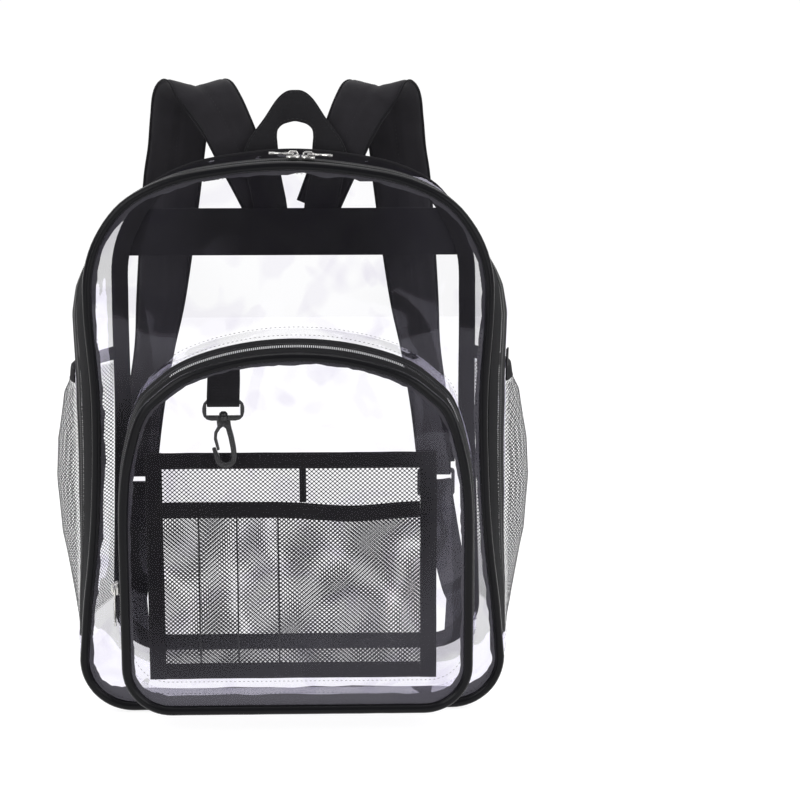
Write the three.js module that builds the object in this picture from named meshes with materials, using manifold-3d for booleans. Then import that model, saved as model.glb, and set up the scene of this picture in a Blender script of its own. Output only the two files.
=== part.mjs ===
// Clear backpack with a zipped front pocket, a net organiser, net side pockets and padded shoulder straps.
// Millimetres, +Z up, the front faces -Y. The exported group stands on the floor with its origin
// below the middle of the whole bag.

import * as THREE from "three";
import { mergeVertices } from "three/addons/utils/BufferGeometryUtils.js";
import Module from "manifold-3d";

const wasm = await Module();
wasm.setup();

// Driving dimensions of the main body
const BODY_HEIGHT = 420;
const BODY_WIDTH = 318;
const BODY_DEPTH = 150;
const BACK_WIDTH = 300;
const BODY_CORNER = 37;
const BODY_BOW = 22;
const CLEAR_WALL = 1;
const CLOTH_WALL = 1.2;
const PIPING = 7;
const CLEARANCE = 0.3;
const SEAM_GAP = 0.03;

// Driving dimensions of the two zips
const MAIN_TAPE = 12;
const MAIN_COIL = 5;
const MAIN_ZIP_END = 54;
const POCKET_TAPE = 7.5;
const POCKET_COIL = 4.5;
const POCKET_ZIP_END = 84;
const COIL_HEIGHT = 2;
const END_TAB = 14;

// Driving dimensions of the front pocket
const POCKET_WIDTH = 253;
const POCKET_BASE_WIDTH = 265;
const POCKET_TOP = 283;
const POCKET_BASE_TOP = 297;
const POCKET_BOTTOM = 17;
const POCKET_DEPTH = 50;
const POCKET_CORNER = 33;
const POCKET_SHIFT = 5;
const POCKET_BOW = 3;

// Driving dimensions of the net organiser inside the front pocket
const ORGANISER_LEFT = -109;
const ORGANISER_RIGHT = 110;
const ORGANISER_BOTTOM = 26;
const ORGANISER_TOP = 203;
const ORGANISER_MIDDLE = 165;
const MIDDLE_DIP = 3.5;
const MIDDLE_DIP_X = 45;
const MIDDLE_DIP_SPAN = 32;
const BINDING = 12.5;
const NET_WALL = 1;
const DIVIDER_X = 9;
const DIVIDER_WIDTH = 5;

// Driving dimensions of the hook on its webbing tab
const TAB_X = -49;
const TAB_WIDTH = 24;
const TAB_TOP = 272;
const TAB_LENGTH = 26;
const WRAP_START = 25;
const HOOK_REACH = 14.5;
const LOOP_WIDTH = 31;
const LOOP_HEIGHT = 16;
const LOOP_BAR = 3.6;
const HOOK_LENGTH = 36;
const HOOK_WIDTH = 14;
const HOOK_THICKNESS = 4;
const HOOK_PIN = 2;

// Driving dimensions of the sliders and pulls
const SLIDER_LENGTH = 10;
const SLIDER_WIDTH = 8;
const SLIDER_HEIGHT = 2.6;
const PULL_LENGTH = 29;
const TOP_PULL_LENGTH = 18;
const PULL_THICKNESS = 1.4;
const SLIDER_SPACING = 11;
const SLIDER_MIDDLE = 9;
const BRIDGE_SPAN = 5;
const BRIDGE_WALL = 1.3;
const BRIDGE_WIDTH = 2.4;
const BRIDGE_ROOM = 2.2;
const POCKET_SLIDER_HEIGHT = 107;

// Driving dimensions of the side pockets
const SIDE_BOTTOM = 47;
const SIDE_TOP = 262;
const SIDE_BULGE = 22;
const SIDE_ELASTIC = 11;
const SIDE_TAB = 14;

// Driving dimensions of the back
const BACK_BINDING = 10;
const YOKE_BOTTOM = 334;
const YOKE_TOP = 373;
const BASE_BAND = 12;
const HANDLE_SPAN = 88;
const HANDLE_TOP = 466;
const HANDLE_BEND = 18;
const HANDLE_SHIFT = 2;
const HANDLE_FOOT = 8;
const WEBBING_WALL = 1.6;
const STRAP_TOP = 466;
const STRAP_END = 150;
const STRAP_SPREAD_LEFT = 136;
const STRAP_SPREAD_RIGHT = 120;
const STRAP_STANDOFF = 54;
const STRAP_WIDTH = 48;
const STRAP_PAD = 8;
const STRAP_EDGE = 0.45;
const SOFT_EDGE = 0.86;
const WEBBING_WIDTH = 25;
const ADJUSTER_WIDTH = 32;
const ADJUSTER_HEIGHT = 24;
const ADJUSTER_BAR = 4;
const ADJUSTER_WALL = 3;
const ANCHOR_X = 139;
const ANCHOR_HEIGHT = 46;
const ANCHOR_WIDTH = 30;

// Mesh density
const FLOOR_STEPS = 2;
const CORNER_STEPS = 4;
const RIM_STEPS = 40;
const PIPING_SIDES = 8;
const PIN_SIDES = 16;
const MIDDLE_STEPS = 12;

// Half of the front seam above its bottom corner, as shares of half the width and of the height
const BODY_ROWS = [
  { across: 0.975, up: 0.2 },
  { across: 0.95, up: 0.277 },
  { across: 0.925, up: 0.39 },
  { across: 0.912, up: 0.577 },
  { across: 0.937, up: 0.74 },
  { across: 0.931, up: 0.807 },
  { across: 0.88, up: 0.868 },
  { across: 0.758, up: 0.93 },
  { across: 0.553, up: 0.971 },
  { across: 0.3, up: 0.991 },
  { across: 0, up: 1 },
];

// Half of the back seam, in the same shares
const BACK_ROWS = [
  { across: 0.99, up: 0.2 },
  { across: 0.98, up: 0.31 },
  { across: 0.965, up: 0.5 },
  { across: 0.965, up: 0.71 },
  { across: 0.955, up: 0.8 },
  { across: 0.9, up: 0.86 },
  { across: 0.77, up: 0.93 },
  { across: 0.56, up: 0.971 },
  { across: 0.3, up: 0.991 },
  { across: 0, up: 1 },
];

// Half of the front pocket's seam, in the same shares
const POCKET_ROWS = [
  { across: 1, up: 0.316 },
  { across: 0.992, up: 0.605 },
  { across: 0.957, up: 0.722 },
  { across: 0.87, up: 0.846 },
  { across: 0.767, up: 0.895 },
  { across: 0.664, up: 0.932 },
  { across: 0.51, up: 0.963 },
  { across: 0.26, up: 0.991 },
  { across: 0, up: 1 },
];

// How far the sides bow out on the way up, as shares of the height and of the bow
const BOW_ROWS = [
  { up: 0, out: 0.15 },
  { up: 0.12, out: 0.5 },
  { up: 0.23, out: 0.68 },
  { up: 0.38, out: 0.9 },
  { up: 0.56, out: 1 },
  { up: 0.73, out: 0.9 },
  { up: 0.776, out: 0.72 },
  { up: 0.83, out: 0.28 },
  { up: 0.9, out: 0.16 },
  { up: 1, out: 0.2 },
];
const BOW_LEAN = 0.75;

// How far a side pocket's net stands out on the way up, as shares of its height and bulge
const SIDE_ROWS = [
  { up: 0, out: 0 },
  { up: 0.1, out: 0.33 },
  { up: 0.35, out: 0.88 },
  { up: 0.56, out: 1 },
  { up: 0.7, out: 0.93 },
  { up: 0.89, out: 0.57 },
  { up: 0.96, out: 0.22 },
  { up: 1, out: 0.16 },
];

// Course of a padded strap from the yoke over its fold to its lower end: shares of the spread,
// of the standoff from the back, of the height from its end to its fold, of its width and of its pad
const STRAP_ROWS = [
  { out: 0.16, away: 0.11, up: 0.7, wide: 0.69, pad: 0.35 },
  { out: 0.243, away: 0.175, up: 0.775, wide: 0.73, pad: 0.8 },
  { out: 0.324, away: 0.25, up: 0.845, wide: 0.77, pad: 1 },
  { out: 0.386, away: 0.33, up: 0.902, wide: 0.81, pad: 1 },
  { out: 0.456, away: 0.43, up: 0.956, wide: 0.88, pad: 1 },
  { out: 0.522, away: 0.55, up: 0.99, wide: 0.96, pad: 1 },
  { out: 0.596, away: 0.71, up: 1, wide: 1.06, pad: 1 },
  { out: 0.66, away: 0.87, up: 0.975, wide: 1.04, pad: 1 },
  { out: 0.695, away: 0.96, up: 0.918, wide: 0.97, pad: 1 },
  { out: 0.72, away: 1, up: 0.84, wide: 0.94, pad: 1 },
  { out: 0.746, away: 1, up: 0.763, wide: 0.96, pad: 1 },
  { out: 0.835, away: 1, up: 0.446, wide: 0.81, pad: 1 },
  { out: 0.879, away: 0.96, up: 0.316, wide: 0.66, pad: 1 },
  { out: 0.941, away: 0.87, up: 0.158, wide: 0.62, pad: 0.9 },
  { out: 0.989, away: 0.78, up: 0, wide: 0.62, pad: 0.5 },
];

// Course of the webbing from the adjuster to its anchor, as shares of the way across, in and down
const WEBBING_ROWS = [
  { out: 0, away: 0, down: 0 },
  { out: 0.2, away: 0.1, down: 0.24 },
  { out: 0.5, away: 0.42, down: 0.55 },
  { out: 0.8, away: 0.82, down: 0.76 },
  { out: 1, away: 0.97, down: 0.84 },
  { out: 1, away: 0.985, down: 0.92 },
  { out: 1, away: 1, down: 1 },
];

// Half of the carrying handle from its foot to its top: places of the webbing's inner and outer
// edges as shares of the handle's half width, of its bend away from the back and of its height
const HANDLE_ROWS = [
  { inner: 0.11, innerUp: 0, innerAway: 0, outer: 0.7, outerUp: 0, outerAway: 0 },
  { inner: 0.16, innerUp: 0.26, innerAway: 0, outer: 0.77, outerUp: 0.24, outerAway: 0 },
  { inner: 0.27, innerUp: 0.48, innerAway: 0, outer: 0.9, outerUp: 0.47, outerAway: 0.04 },
  { inner: 0.32, innerUp: 0.66, innerAway: 0.1, outer: 0.92, outerUp: 0.63, outerAway: 0.14 },
  { inner: 0.33, innerUp: 0.71, innerAway: 0.2, outer: 0.76, outerUp: 0.73, outerAway: 0.3 },
  { inner: 0.31, innerUp: 0.75, innerAway: 0.28, outer: 0.57, outerUp: 0.82, outerAway: 0.55 },
  { inner: 0.22, innerUp: 0.78, innerAway: 0.36, outer: 0.34, outerUp: 0.94, outerAway: 0.84 },
  { inner: 0.12, innerUp: 0.792, innerAway: 0.4, outer: 0.17, outerUp: 0.99, outerAway: 0.97 },
  { inner: 0, innerUp: 0.8, innerAway: 0.42, outer: 0, outerUp: 1, outerAway: 1 },
];

// Materials
const clearVinyl = (opacity) =>
  new THREE.MeshStandardMaterial({
    color: 0xe9e9f0,
    roughness: 0.08,
    metalness: 0,
    transparent: true,
    opacity,
  });
const CLEAR = clearVinyl(0.28);
const CLEAR_THIN = clearVinyl(0.2);
const BLACK_VINYL = new THREE.MeshStandardMaterial({ color: 0x1b1a1f, roughness: 0.35, metalness: 0 });
const BLACK_CLOTH = new THREE.MeshStandardMaterial({ color: 0x19181c, roughness: 0.9, metalness: 0 });
const STRAP_CLOTH = new THREE.MeshStandardMaterial({ color: 0x222026, roughness: 0.95, metalness: 0 });
const ZIP_CLOTH = new THREE.MeshStandardMaterial({ color: 0x141417, roughness: 0.85, metalness: 0 });
const COIL_PLASTIC = new THREE.MeshStandardMaterial({ color: 0x101012, roughness: 0.45, metalness: 0 });
const NET = new THREE.MeshStandardMaterial({ color: 0x34343a, roughness: 0.8, metalness: 0 });
const BLACK_PLASTIC = new THREE.MeshStandardMaterial({ color: 0x17171a, roughness: 0.4, metalness: 0 });
const BRIGHT_METAL = new THREE.MeshStandardMaterial({ color: 0xc9c8c4, roughness: 0.25, metalness: 1 });

const FRONT = -BODY_DEPTH / 2;
const BACK = BODY_DEPTH / 2;

const mix = (a, b, share) => a + (b - a) * share;
const radians = THREE.MathUtils.degToRad;

// Value of one column of a table at a height share, by straight lines between its rows
function column(rows, name, up) {
  if (up <= rows[0].up) return rows[0][name];
  for (let k = 1; k < rows.length; k++) {
    if (up <= rows[k].up) {
      const share = (up - rows[k - 1].up) / (rows[k].up - rows[k - 1].up);
      return mix(rows[k - 1][name], rows[k][name], share);
    }
  }
  return rows[rows.length - 1][name];
}

// Closed geometry from points and triangles, turned so that its faces point out
function closedBody(points, triangles) {
  let volume = 0;
  for (const [a, b, c] of triangles) {
    volume += points[a].dot(new THREE.Vector3().crossVectors(points[b], points[c]));
  }
  const facing = volume < 0 ? triangles.map(([a, b, c]) => [a, c, b]) : triangles;
  const geometry = new THREE.BufferGeometry().setFromPoints(points);
  geometry.setIndex(facing.flat());
  geometry.computeVertexNormals();
  return geometry;
}

// Sheet between two grids of points, its outer and its inner face, closed at its edges
function sheet(outer, inner) {
  const rows = outer.length;
  const columns = outer[0].length;
  const points = [...outer.flat(), ...inner.flat()];
  const behind = rows * columns;
  const triangles = [];
  const quad = (a, b, c, d) => triangles.push([a, b, c], [a, c, d]);
  for (let r = 0; r < rows - 1; r++) {
    for (let c = 0; c < columns - 1; c++) {
      const k = r * columns + c;
      quad(k, k + 1, k + 1 + columns, k + columns);
      quad(behind + k, behind + k + columns, behind + k + columns + 1, behind + k + 1);
    }
  }
  for (let c = 0; c < columns - 1; c++) {
    const last = (rows - 1) * columns + c;
    quad(c, behind + c, behind + c + 1, c + 1);
    quad(last, last + 1, behind + last + 1, behind + last);
  }
  for (let r = 0; r < rows - 1; r++) {
    const first = r * columns;
    const last = first + columns - 1;
    quad(first, first + columns, behind + first + columns, behind + first);
    quad(last, behind + last, behind + last + columns, last + columns);
  }
  return closedBody(points, triangles);
}

// Body through rings of points, capped at both ends or joined end to end
function loft(rings, joined = false) {
  const sides = rings[0].length;
  const points = rings.flat();
  const triangles = [];
  const spans = joined ? rings.length : rings.length - 1;
  for (let r = 0; r < spans; r++) {
    for (let s = 0; s < sides; s++) {
      const a = r * sides + s;
      const b = r * sides + ((s + 1) % sides);
      const c = ((r + 1) % rings.length) * sides + ((s + 1) % sides);
      const d = ((r + 1) % rings.length) * sides + s;
      triangles.push([a, b, c], [a, c, d]);
    }
  }
  if (!joined) {
    const last = (rings.length - 1) * sides;
    for (let s = 1; s < sides - 1; s++) {
      triangles.push([0, s + 1, s]);
      triangles.push([last, last + s, last + s + 1]);
    }
  }
  return closedBody(points, triangles);
}

// Points of a closed seam with its outward direction, from the middle of its bottom round to the right
function seam({ width, bottom, top, corner, rows, shift = 0 }) {
  const half = width / 2;
  const flat = half - corner;
  const right = [];
  for (let k = 0; k < FLOOR_STEPS; k++) right.push(new THREE.Vector2((k / FLOOR_STEPS) * flat, bottom));
  for (let k = 0; k < CORNER_STEPS; k++) {
    const angle = (k / CORNER_STEPS - 1) * (Math.PI / 2);
    const x = flat + corner * Math.cos(angle);
    right.push(new THREE.Vector2(x, bottom + corner + corner * Math.sin(angle)));
  }
  const side = [
    new THREE.Vector3(half, 0, bottom + corner),
    ...rows.map((row) => new THREE.Vector3(row.across * half, 0, mix(bottom, top, row.up))),
  ];
  const mirrored = side.slice(0, -1).reverse().map((p) => new THREE.Vector3(-p.x, 0, p.z));
  const curve = new THREE.CatmullRomCurve3([...side, ...mirrored], false, "centripetal");
  const rim = curve.getSpacedPoints(RIM_STEPS).map((p) => new THREE.Vector2(p.x, p.z));
  const left = right.slice(1).reverse().map((p) => new THREE.Vector2(-p.x, p.y));
  const loop = [...right, ...rim, ...left];
  return loop.map((p, k) => {
    const before = loop[(k + loop.length - 1) % loop.length];
    const after = loop[(k + 1) % loop.length];
    const along = new THREE.Vector2().subVectors(after, before).normalize();
    return { x: p.x + shift, z: p.y, nx: along.y, nz: -along.x };
  });
}

// Place on a seam at a number of points along it, also between two of its points
function along(loop, index) {
  const low = Math.floor(index);
  const share = index - low;
  const a = loop[((low % loop.length) + loop.length) % loop.length];
  const b = loop[(((low + 1) % loop.length) + loop.length) % loop.length];
  return {
    x: mix(a.x, b.x, share),
    z: mix(a.z, b.z, share),
    nx: mix(a.nx, b.nx, share),
    nz: mix(a.nz, b.nz, share),
  };
}

// Index on the right half of a seam where it reaches a height
function indexAt(loop, height) {
  for (let k = FLOOR_STEPS + 1; k < loop.length / 2; k++) {
    if (loop[k].z >= height) return k - (loop[k].z - height) / (loop[k].z - loop[k - 1].z);
  }
  return loop.length / 2;
}

// Both ends of a stretch and every whole point between them
function stations(from, to) {
  const list = [from];
  for (let k = Math.ceil(from + 0.05); k < to - 0.05; k++) list.push(k);
  list.push(to);
  return list;
}

// Even steps between two values, both included
const steps = (from, to, count) => Array.from({ length: count + 1 }, (_, k) => mix(from, to, k / count));

// Wall that runs back from one seam to another and bows outwards between them
function wall(front, back, frontDepth, backDepth, bow) {
  return (index, depth, lift) => {
    const a = along(front, index);
    const b = along(back, index);
    const share = (depth - frontDepth) / (backDepth - frontDepth);
    const normal = new THREE.Vector2(mix(a.nx, b.nx, share), mix(a.nz, b.nz, share)).normalize();
    const out = bow(a, share) + lift;
    const x = mix(a.x, b.x, share) + normal.x * out;
    const z = mix(a.z, b.z, share) + normal.y * out;
    return new THREE.Vector3(x, depth, z);
  };
}

// Part of a wall as a sheet: its indices, its depths, the lift of its outer face and its thickness
function patch(surface, indices, depths, lift, thickness) {
  const grid = (height) => indices.map((index) => depths.map((depth) => surface(index, depth, height)));
  return sheet(grid(lift), grid(lift - thickness));
}

// Round piping along a seam
function pipingRing(loop, depth, diameter) {
  const radius = diameter / 2 / Math.cos(Math.PI / PIPING_SIDES);
  const rings = loop.map((p) =>
    Array.from({ length: PIPING_SIDES }, (_, k) => {
      const angle = ((k + 0.5) * 2 * Math.PI) / PIPING_SIDES;
      const out = radius * Math.cos(angle);
      return new THREE.Vector3(p.x + p.nx * out, depth + radius * Math.sin(angle), p.z + p.nz * out);
    }),
  );
  return loft(rings, true);
}

// Flat sheet within a seam, its edge moved in by an inset, from one depth to another
function panel(loop, inset, near, far) {
  return plate(
    loop.map((p) => [p.x - p.nx * inset, p.z - p.nz * inset]),
    near,
    far,
  );
}

// Flat plate with an outline of [x, z] points, from one depth to another, with holes of the same form
function plate(outline, near, far, holes = []) {
  const vectors = (points) => points.map(([x, z]) => new THREE.Vector2(x, z));
  const shape = new THREE.Shape(vectors(outline));
  for (const hole of holes) shape.holes.push(new THREE.Path(vectors(hole)));
  const geometry = new THREE.ExtrudeGeometry(shape, { depth: far - near, bevelEnabled: false });
  geometry.rotateX(Math.PI / 2);
  geometry.translate(0, far, 0);
  return geometry;
}

const rectangle = (left, right, bottom, top) => [
  [left, bottom],
  [right, bottom],
  [right, top],
  [left, top],
];

// Rectangle with round corners, as [x, z] points
function roundedRectangle(left, right, bottom, top, radius, turns = 4) {
  const centres = [
    { x: right - radius, z: bottom + radius },
    { x: right - radius, z: top - radius },
    { x: left + radius, z: top - radius },
    { x: left + radius, z: bottom + radius },
  ];
  return centres.flatMap(({ x, z }, quarter) =>
    steps(quarter - 1, quarter, turns).map((place) => [
      x + radius * Math.cos((place * Math.PI) / 2),
      z + radius * Math.sin((place * Math.PI) / 2),
    ]),
  );
}

// Ribbon along rows of { at, width, thick, across }: a flat body with softened edges
function ribbon(rows, perRow = 2, edge = 0) {
  const path = new THREE.CatmullRomCurve3(rows.map((row) => row.at), false, "centripetal");
  const count = (rows.length - 1) * perRow;
  const rings = steps(0, 1, count).map((share) => {
    const place = share * (rows.length - 1);
    const low = Math.min(Math.floor(place), rows.length - 2);
    const between = place - low;
    const a = rows[low];
    const b = rows[low + 1];
    const forward = path.getTangent(share);
    const wide = a.across.clone().lerp(b.across, between);
    wide.addScaledVector(forward, -wide.dot(forward)).normalize();
    const thick = new THREE.Vector3().crossVectors(forward, wide);
    const w = mix(a.width, b.width, between) / 2;
    const t = mix(a.thick, b.thick, between) / 2;
    const quarter = edge ? [[w, t * edge], [w * SOFT_EDGE, t]] : [[w, t]];
    const upper = [...quarter, ...quarter.map(([u, v]) => [-u, v]).reverse()];
    const corners = [...upper, ...upper.map(([u, v]) => [-u, -v])];
    const centre = path.getPoint(share);
    return corners.map(([u, v]) => centre.clone().addScaledVector(wide, u).addScaledVector(thick, v));
  });
  return loft(rings);
}

// Solids for cutting and joining
function solid(geometry) {
  const bare = geometry.clone();
  bare.deleteAttribute("normal");
  bare.deleteAttribute("uv");
  const merged = mergeVertices(bare, 1e-3);
  return new wasm.Manifold(
    new wasm.Mesh({
      numProp: 3,
      vertProperties: merged.attributes.position.array,
      triVerts: new Uint32Array(merged.index.array),
    }),
  );
}

function geometryOf(made) {
  const mesh = made.getMesh();
  const geometry = new THREE.BufferGeometry();
  geometry.setAttribute("position", new THREE.BufferAttribute(new Float32Array(mesh.vertProperties), 3));
  geometry.setIndex(new THREE.BufferAttribute(new Uint32Array(mesh.triVerts), 1));
  geometry.computeVertexNormals();
  return geometry;
}

const join = (...parts) => geometryOf(parts.map(solid).reduce((all, next) => all.add(next)));
const without = (rest, tool) => rest.subtract(tool);
const cut = (whole, ...tools) => geometryOf(tools.map(solid).reduce(without, solid(whole)));

const bag = new THREE.Group();

function add(name, geometry, material, parent = bag) {
  const mesh = new THREE.Mesh(geometry, material);
  mesh.name = name;
  parent.add(mesh);
  return mesh;
}

// Seams and walls
const seamLow = PIPING / 2;
const seamHigh = BODY_HEIGHT - PIPING / 2;
const bodySeam = { bottom: seamLow, top: seamHigh, corner: BODY_CORNER };
const frontSeam = seam({ ...bodySeam, width: BODY_WIDTH, rows: BODY_ROWS });
const backSeam = seam({ ...bodySeam, width: BACK_WIDTH, rows: BACK_ROWS });
const turnIndex = frontSeam.length;

// The bow grows quickly behind the front seam, and the bottom lies level with the piping's underside
function bodyBow(place, share) {
  const up = (place.z - seamLow) / (seamHigh - seamLow);
  const sweep = Math.sin(Math.PI * Math.max(share, 0) ** BOW_LEAN);
  const down = Math.max(-place.nz, 0) ** 2;
  return BODY_BOW * column(BOW_ROWS, "out", up) * sweep * (1 - down) + (PIPING / 2) * down;
}
const bodyWall = wall(frontSeam, backSeam, FRONT, BACK, bodyBow);

const pocketFront = FRONT - POCKET_DEPTH;
const pocketSeat = FRONT - CLEAR_WALL / 2 - CLEARANCE;
const pocketSeam = seam({
  width: POCKET_WIDTH,
  bottom: POCKET_BOTTOM,
  top: POCKET_TOP,
  corner: POCKET_CORNER,
  rows: POCKET_ROWS,
  shift: POCKET_SHIFT,
});
const pocketBaseSeam = seam({
  width: POCKET_BASE_WIDTH,
  bottom: POCKET_BOTTOM,
  top: POCKET_BASE_TOP,
  corner: POCKET_CORNER,
  rows: POCKET_ROWS,
  shift: POCKET_SHIFT,
});
const pocketBow = (place, share) => POCKET_BOW * Math.sin(Math.PI * Math.min(Math.max(share, 0), 1));
const pocketWall = wall(pocketSeam, pocketBaseSeam, pocketFront, pocketSeat, pocketBow);

// Where the bands of a zipped wall lie, from the front back
function zipDepths(front, tape, coil) {
  const tapeFront = front + PIPING / 2 / Math.cos(Math.PI / PIPING_SIDES) + CLEARANCE;
  const coilFront = tapeFront + tape + CLEARANCE;
  const tapeBack = coilFront + coil + CLEARANCE;
  return { tapeFront, coilFront, tapeBack, end: tapeBack + tape };
}
const mainZip = zipDepths(FRONT, MAIN_TAPE, MAIN_COIL);
const pocketZip = zipDepths(pocketFront, POCKET_TAPE, POCKET_COIL);
const mainEnd = indexAt(frontSeam, MAIN_ZIP_END);
const pocketEnd = indexAt(pocketSeam, POCKET_ZIP_END);

// Depth of the back binding's inner face, where the side walls stop
const backInside = BACK - CLEAR_WALL - CLEARANCE - CLOTH_WALL;
const wallStop = backInside - CLEARANCE;

function mainBody() {
  const rim = stations(mainEnd + SEAM_GAP, turnIndex - mainEnd - SEAM_GAP);
  const halfWall = CLEAR_WALL / 2;
  add("front_panel", panel(frontSeam, PIPING / 2 + CLEARANCE, FRONT - halfWall, FRONT + halfWall), CLEAR);
  add("front_piping", pipingRing(frontSeam, FRONT, PIPING), BLACK_VINYL);
  add("back_panel", panel(backSeam, 0, BACK - CLEAR_WALL, BACK), CLEAR);
  const gussetDepths = steps(mainZip.end + CLEARANCE, wallStop, 5);
  add("side_gusset", patch(bodyWall, rim, gussetDepths, 0, CLEAR_WALL), CLEAR);
  const floor = stations(-mainEnd, mainEnd);
  const floorDepths = [mainZip.tapeFront, ...steps(mainZip.end, wallStop, 4)];
  add("bottom_gusset", patch(bodyWall, floor, floorDepths, 0, CLEAR_WALL), CLEAR);
}

// Ring that follows the back seam: a flat flange inside the back panel and a bead round its edge
function backBinding() {
  const flangeBack = backInside + CLOTH_WALL;
  const beadBack = BACK + CLEARANCE + CLOTH_WALL;
  const profile = [
    { out: -BACK_BINDING, depth: backInside },
    { out: PIPING / 2, depth: backInside },
    { out: PIPING / 2, depth: beadBack },
    { out: CLEARANCE, depth: beadBack },
    { out: CLEARANCE, depth: flangeBack },
    { out: -BACK_BINDING, depth: flangeBack },
  ];
  const rings = backSeam.map((p) =>
    profile.map(({ out, depth }) => new THREE.Vector3(p.x + p.nx * out, depth, p.z + p.nz * out)),
  );
  add("back_binding", loft(rings, true), BLACK_CLOTH);
}

// Zip closed all the way: two tapes with the coil between them
function zipBand(name, surface, depths, tape, coil, end) {
  const line = stations(end + SEAM_GAP, turnIndex - end - SEAM_GAP);
  const band = (from, width) => [from, from + width];
  add(name + "_tape_front", patch(surface, line, band(depths.tapeFront, tape), 0, CLOTH_WALL), ZIP_CLOTH);
  add(name + "_tape_back", patch(surface, line, band(depths.tapeBack, tape), 0, CLOTH_WALL), ZIP_CLOTH);
  const coilBand = band(depths.coilFront, coil);
  add(name + "_coil", patch(surface, line, coilBand, COIL_HEIGHT / 2, COIL_HEIGHT), COIL_PLASTIC);
}

// Clear tab folded over each lower end of a zip
function zipEnds(name, surface, loop, depths, endHeight) {
  const top = indexAt(loop, endHeight) - SEAM_GAP;
  const low = indexAt(loop, endHeight - END_TAB);
  const across = [depths.tapeFront, depths.end];
  const lift = CLEARANCE + CLEAR_WALL;
  add(name + "_end_right", patch(surface, stations(low, top), across, lift, CLEAR_WALL), CLEAR_THIN);
  const left = stations(turnIndex - top, turnIndex - low);
  add(name + "_end_left", patch(surface, left, across, lift, CLEAR_WALL), CLEAR_THIN);
}

function frontPocket() {
  const face = [pocketFront - CLEAR_WALL / 2, pocketFront + CLEAR_WALL / 2];
  add("pocket_front", panel(pocketSeam, PIPING / 2 + CLEARANCE, ...face), CLEAR_THIN);
  add("pocket_piping", pipingRing(pocketSeam, pocketFront, PIPING), BLACK_VINYL);
  const rim = stations(pocketEnd + SEAM_GAP, turnIndex - pocketEnd - SEAM_GAP);
  const rimDepths = steps(pocketZip.end + CLEARANCE, pocketSeat, 2);
  add("pocket_gusset", patch(pocketWall, rim, rimDepths, 0, CLEAR_WALL), CLEAR_THIN);
  const floor = stations(-pocketEnd, pocketEnd);
  const floorDepths = [pocketZip.tapeFront, ...steps(pocketZip.end, pocketSeat, 2)];
  add("pocket_bottom", patch(pocketWall, floor, floorDepths, 0, CLEAR_WALL), CLEAR_THIN);
}

// Height of the organiser's middle band, which dips where the net hangs slack
const middleDip = (x) => MIDDLE_DIP * Math.exp(-(((x - MIDDLE_DIP_X) / MIDDLE_DIP_SPAN) ** 2));
const middleHeight = (x) => ORGANISER_MIDDLE - middleDip(x);

function organiser() {
  const netDepth = pocketSeat;
  const frontNetDepth = netDepth - NET_WALL - CLEARANCE;
  const bandDepth = frontNetDepth - NET_WALL - CLEARANCE;
  const layer = (depth, thickness) => [depth - thickness, depth];
  const inLeft = ORGANISER_LEFT + BINDING + CLEARANCE;
  const inRight = ORGANISER_RIGHT - BINDING - CLEARANCE;
  const edge = BINDING / 2;
  const netLeft = ORGANISER_LEFT + edge;
  const netRight = ORGANISER_RIGHT - edge;
  const netBottom = ORGANISER_BOTTOM + edge;
  const backNet = rectangle(netLeft, netRight, netBottom, ORGANISER_TOP - edge);
  add("organiser_net_back", plate(backNet, ...layer(netDepth, NET_WALL)), NET);
  const dips = (left, right) => steps(left, right, MIDDLE_STEPS);
  const frontNet = [
    [netLeft, netBottom],
    [netRight, netBottom],
    ...dips(netLeft, netRight).reverse().map((x) => [x, middleHeight(x) - edge]),
  ];
  add("organiser_net_front", plate(frontNet, ...layer(frontNetDepth, NET_WALL)), NET);
  const band = (name, outline) => add(name, plate(outline, ...layer(bandDepth, CLOTH_WALL)), BLACK_CLOTH);
  band("organiser_left", rectangle(ORGANISER_LEFT, inLeft - CLEARANCE, ORGANISER_BOTTOM, ORGANISER_TOP));
  band("organiser_right", rectangle(inRight + CLEARANCE, ORGANISER_RIGHT, ORGANISER_BOTTOM, ORGANISER_TOP));
  band("organiser_top", rectangle(inLeft, inRight, ORGANISER_TOP - BINDING, ORGANISER_TOP));
  band("organiser_bottom", rectangle(inLeft, inRight, ORGANISER_BOTTOM, ORGANISER_BOTTOM + BINDING));
  band("organiser_middle", [
    ...dips(inLeft, inRight).map((x) => [x, middleHeight(x) - BINDING]),
    ...dips(inLeft, inRight).reverse().map((x) => [x, middleHeight(x)]),
  ]);
  const dividerTop = ORGANISER_TOP - BINDING - CLEARANCE;
  const dividerBottom = middleHeight(DIVIDER_X) + CLEARANCE;
  const half = DIVIDER_WIDTH / 2;
  const divider = rectangle(DIVIDER_X - half, DIVIDER_X + half, dividerBottom, dividerTop);
  const dividerLayer = layer(netDepth - NET_WALL - CLEARANCE, CLOTH_WALL);
  add("organiser_divider", plate(divider, ...dividerLayer), BLACK_CLOTH);
}

// Hook assembly: its pin's axis, the height of the hook's shoulder and of the loop's upper bar
const hookDepth = FRONT - CLEAR_WALL / 2 - HOOK_REACH;
const loopTop = TAB_TOP - TAB_LENGTH;
const barHeight = loopTop - LOOP_BAR / 2;
const shoulder = loopTop - LOOP_HEIGHT - CLEARANCE;

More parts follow.
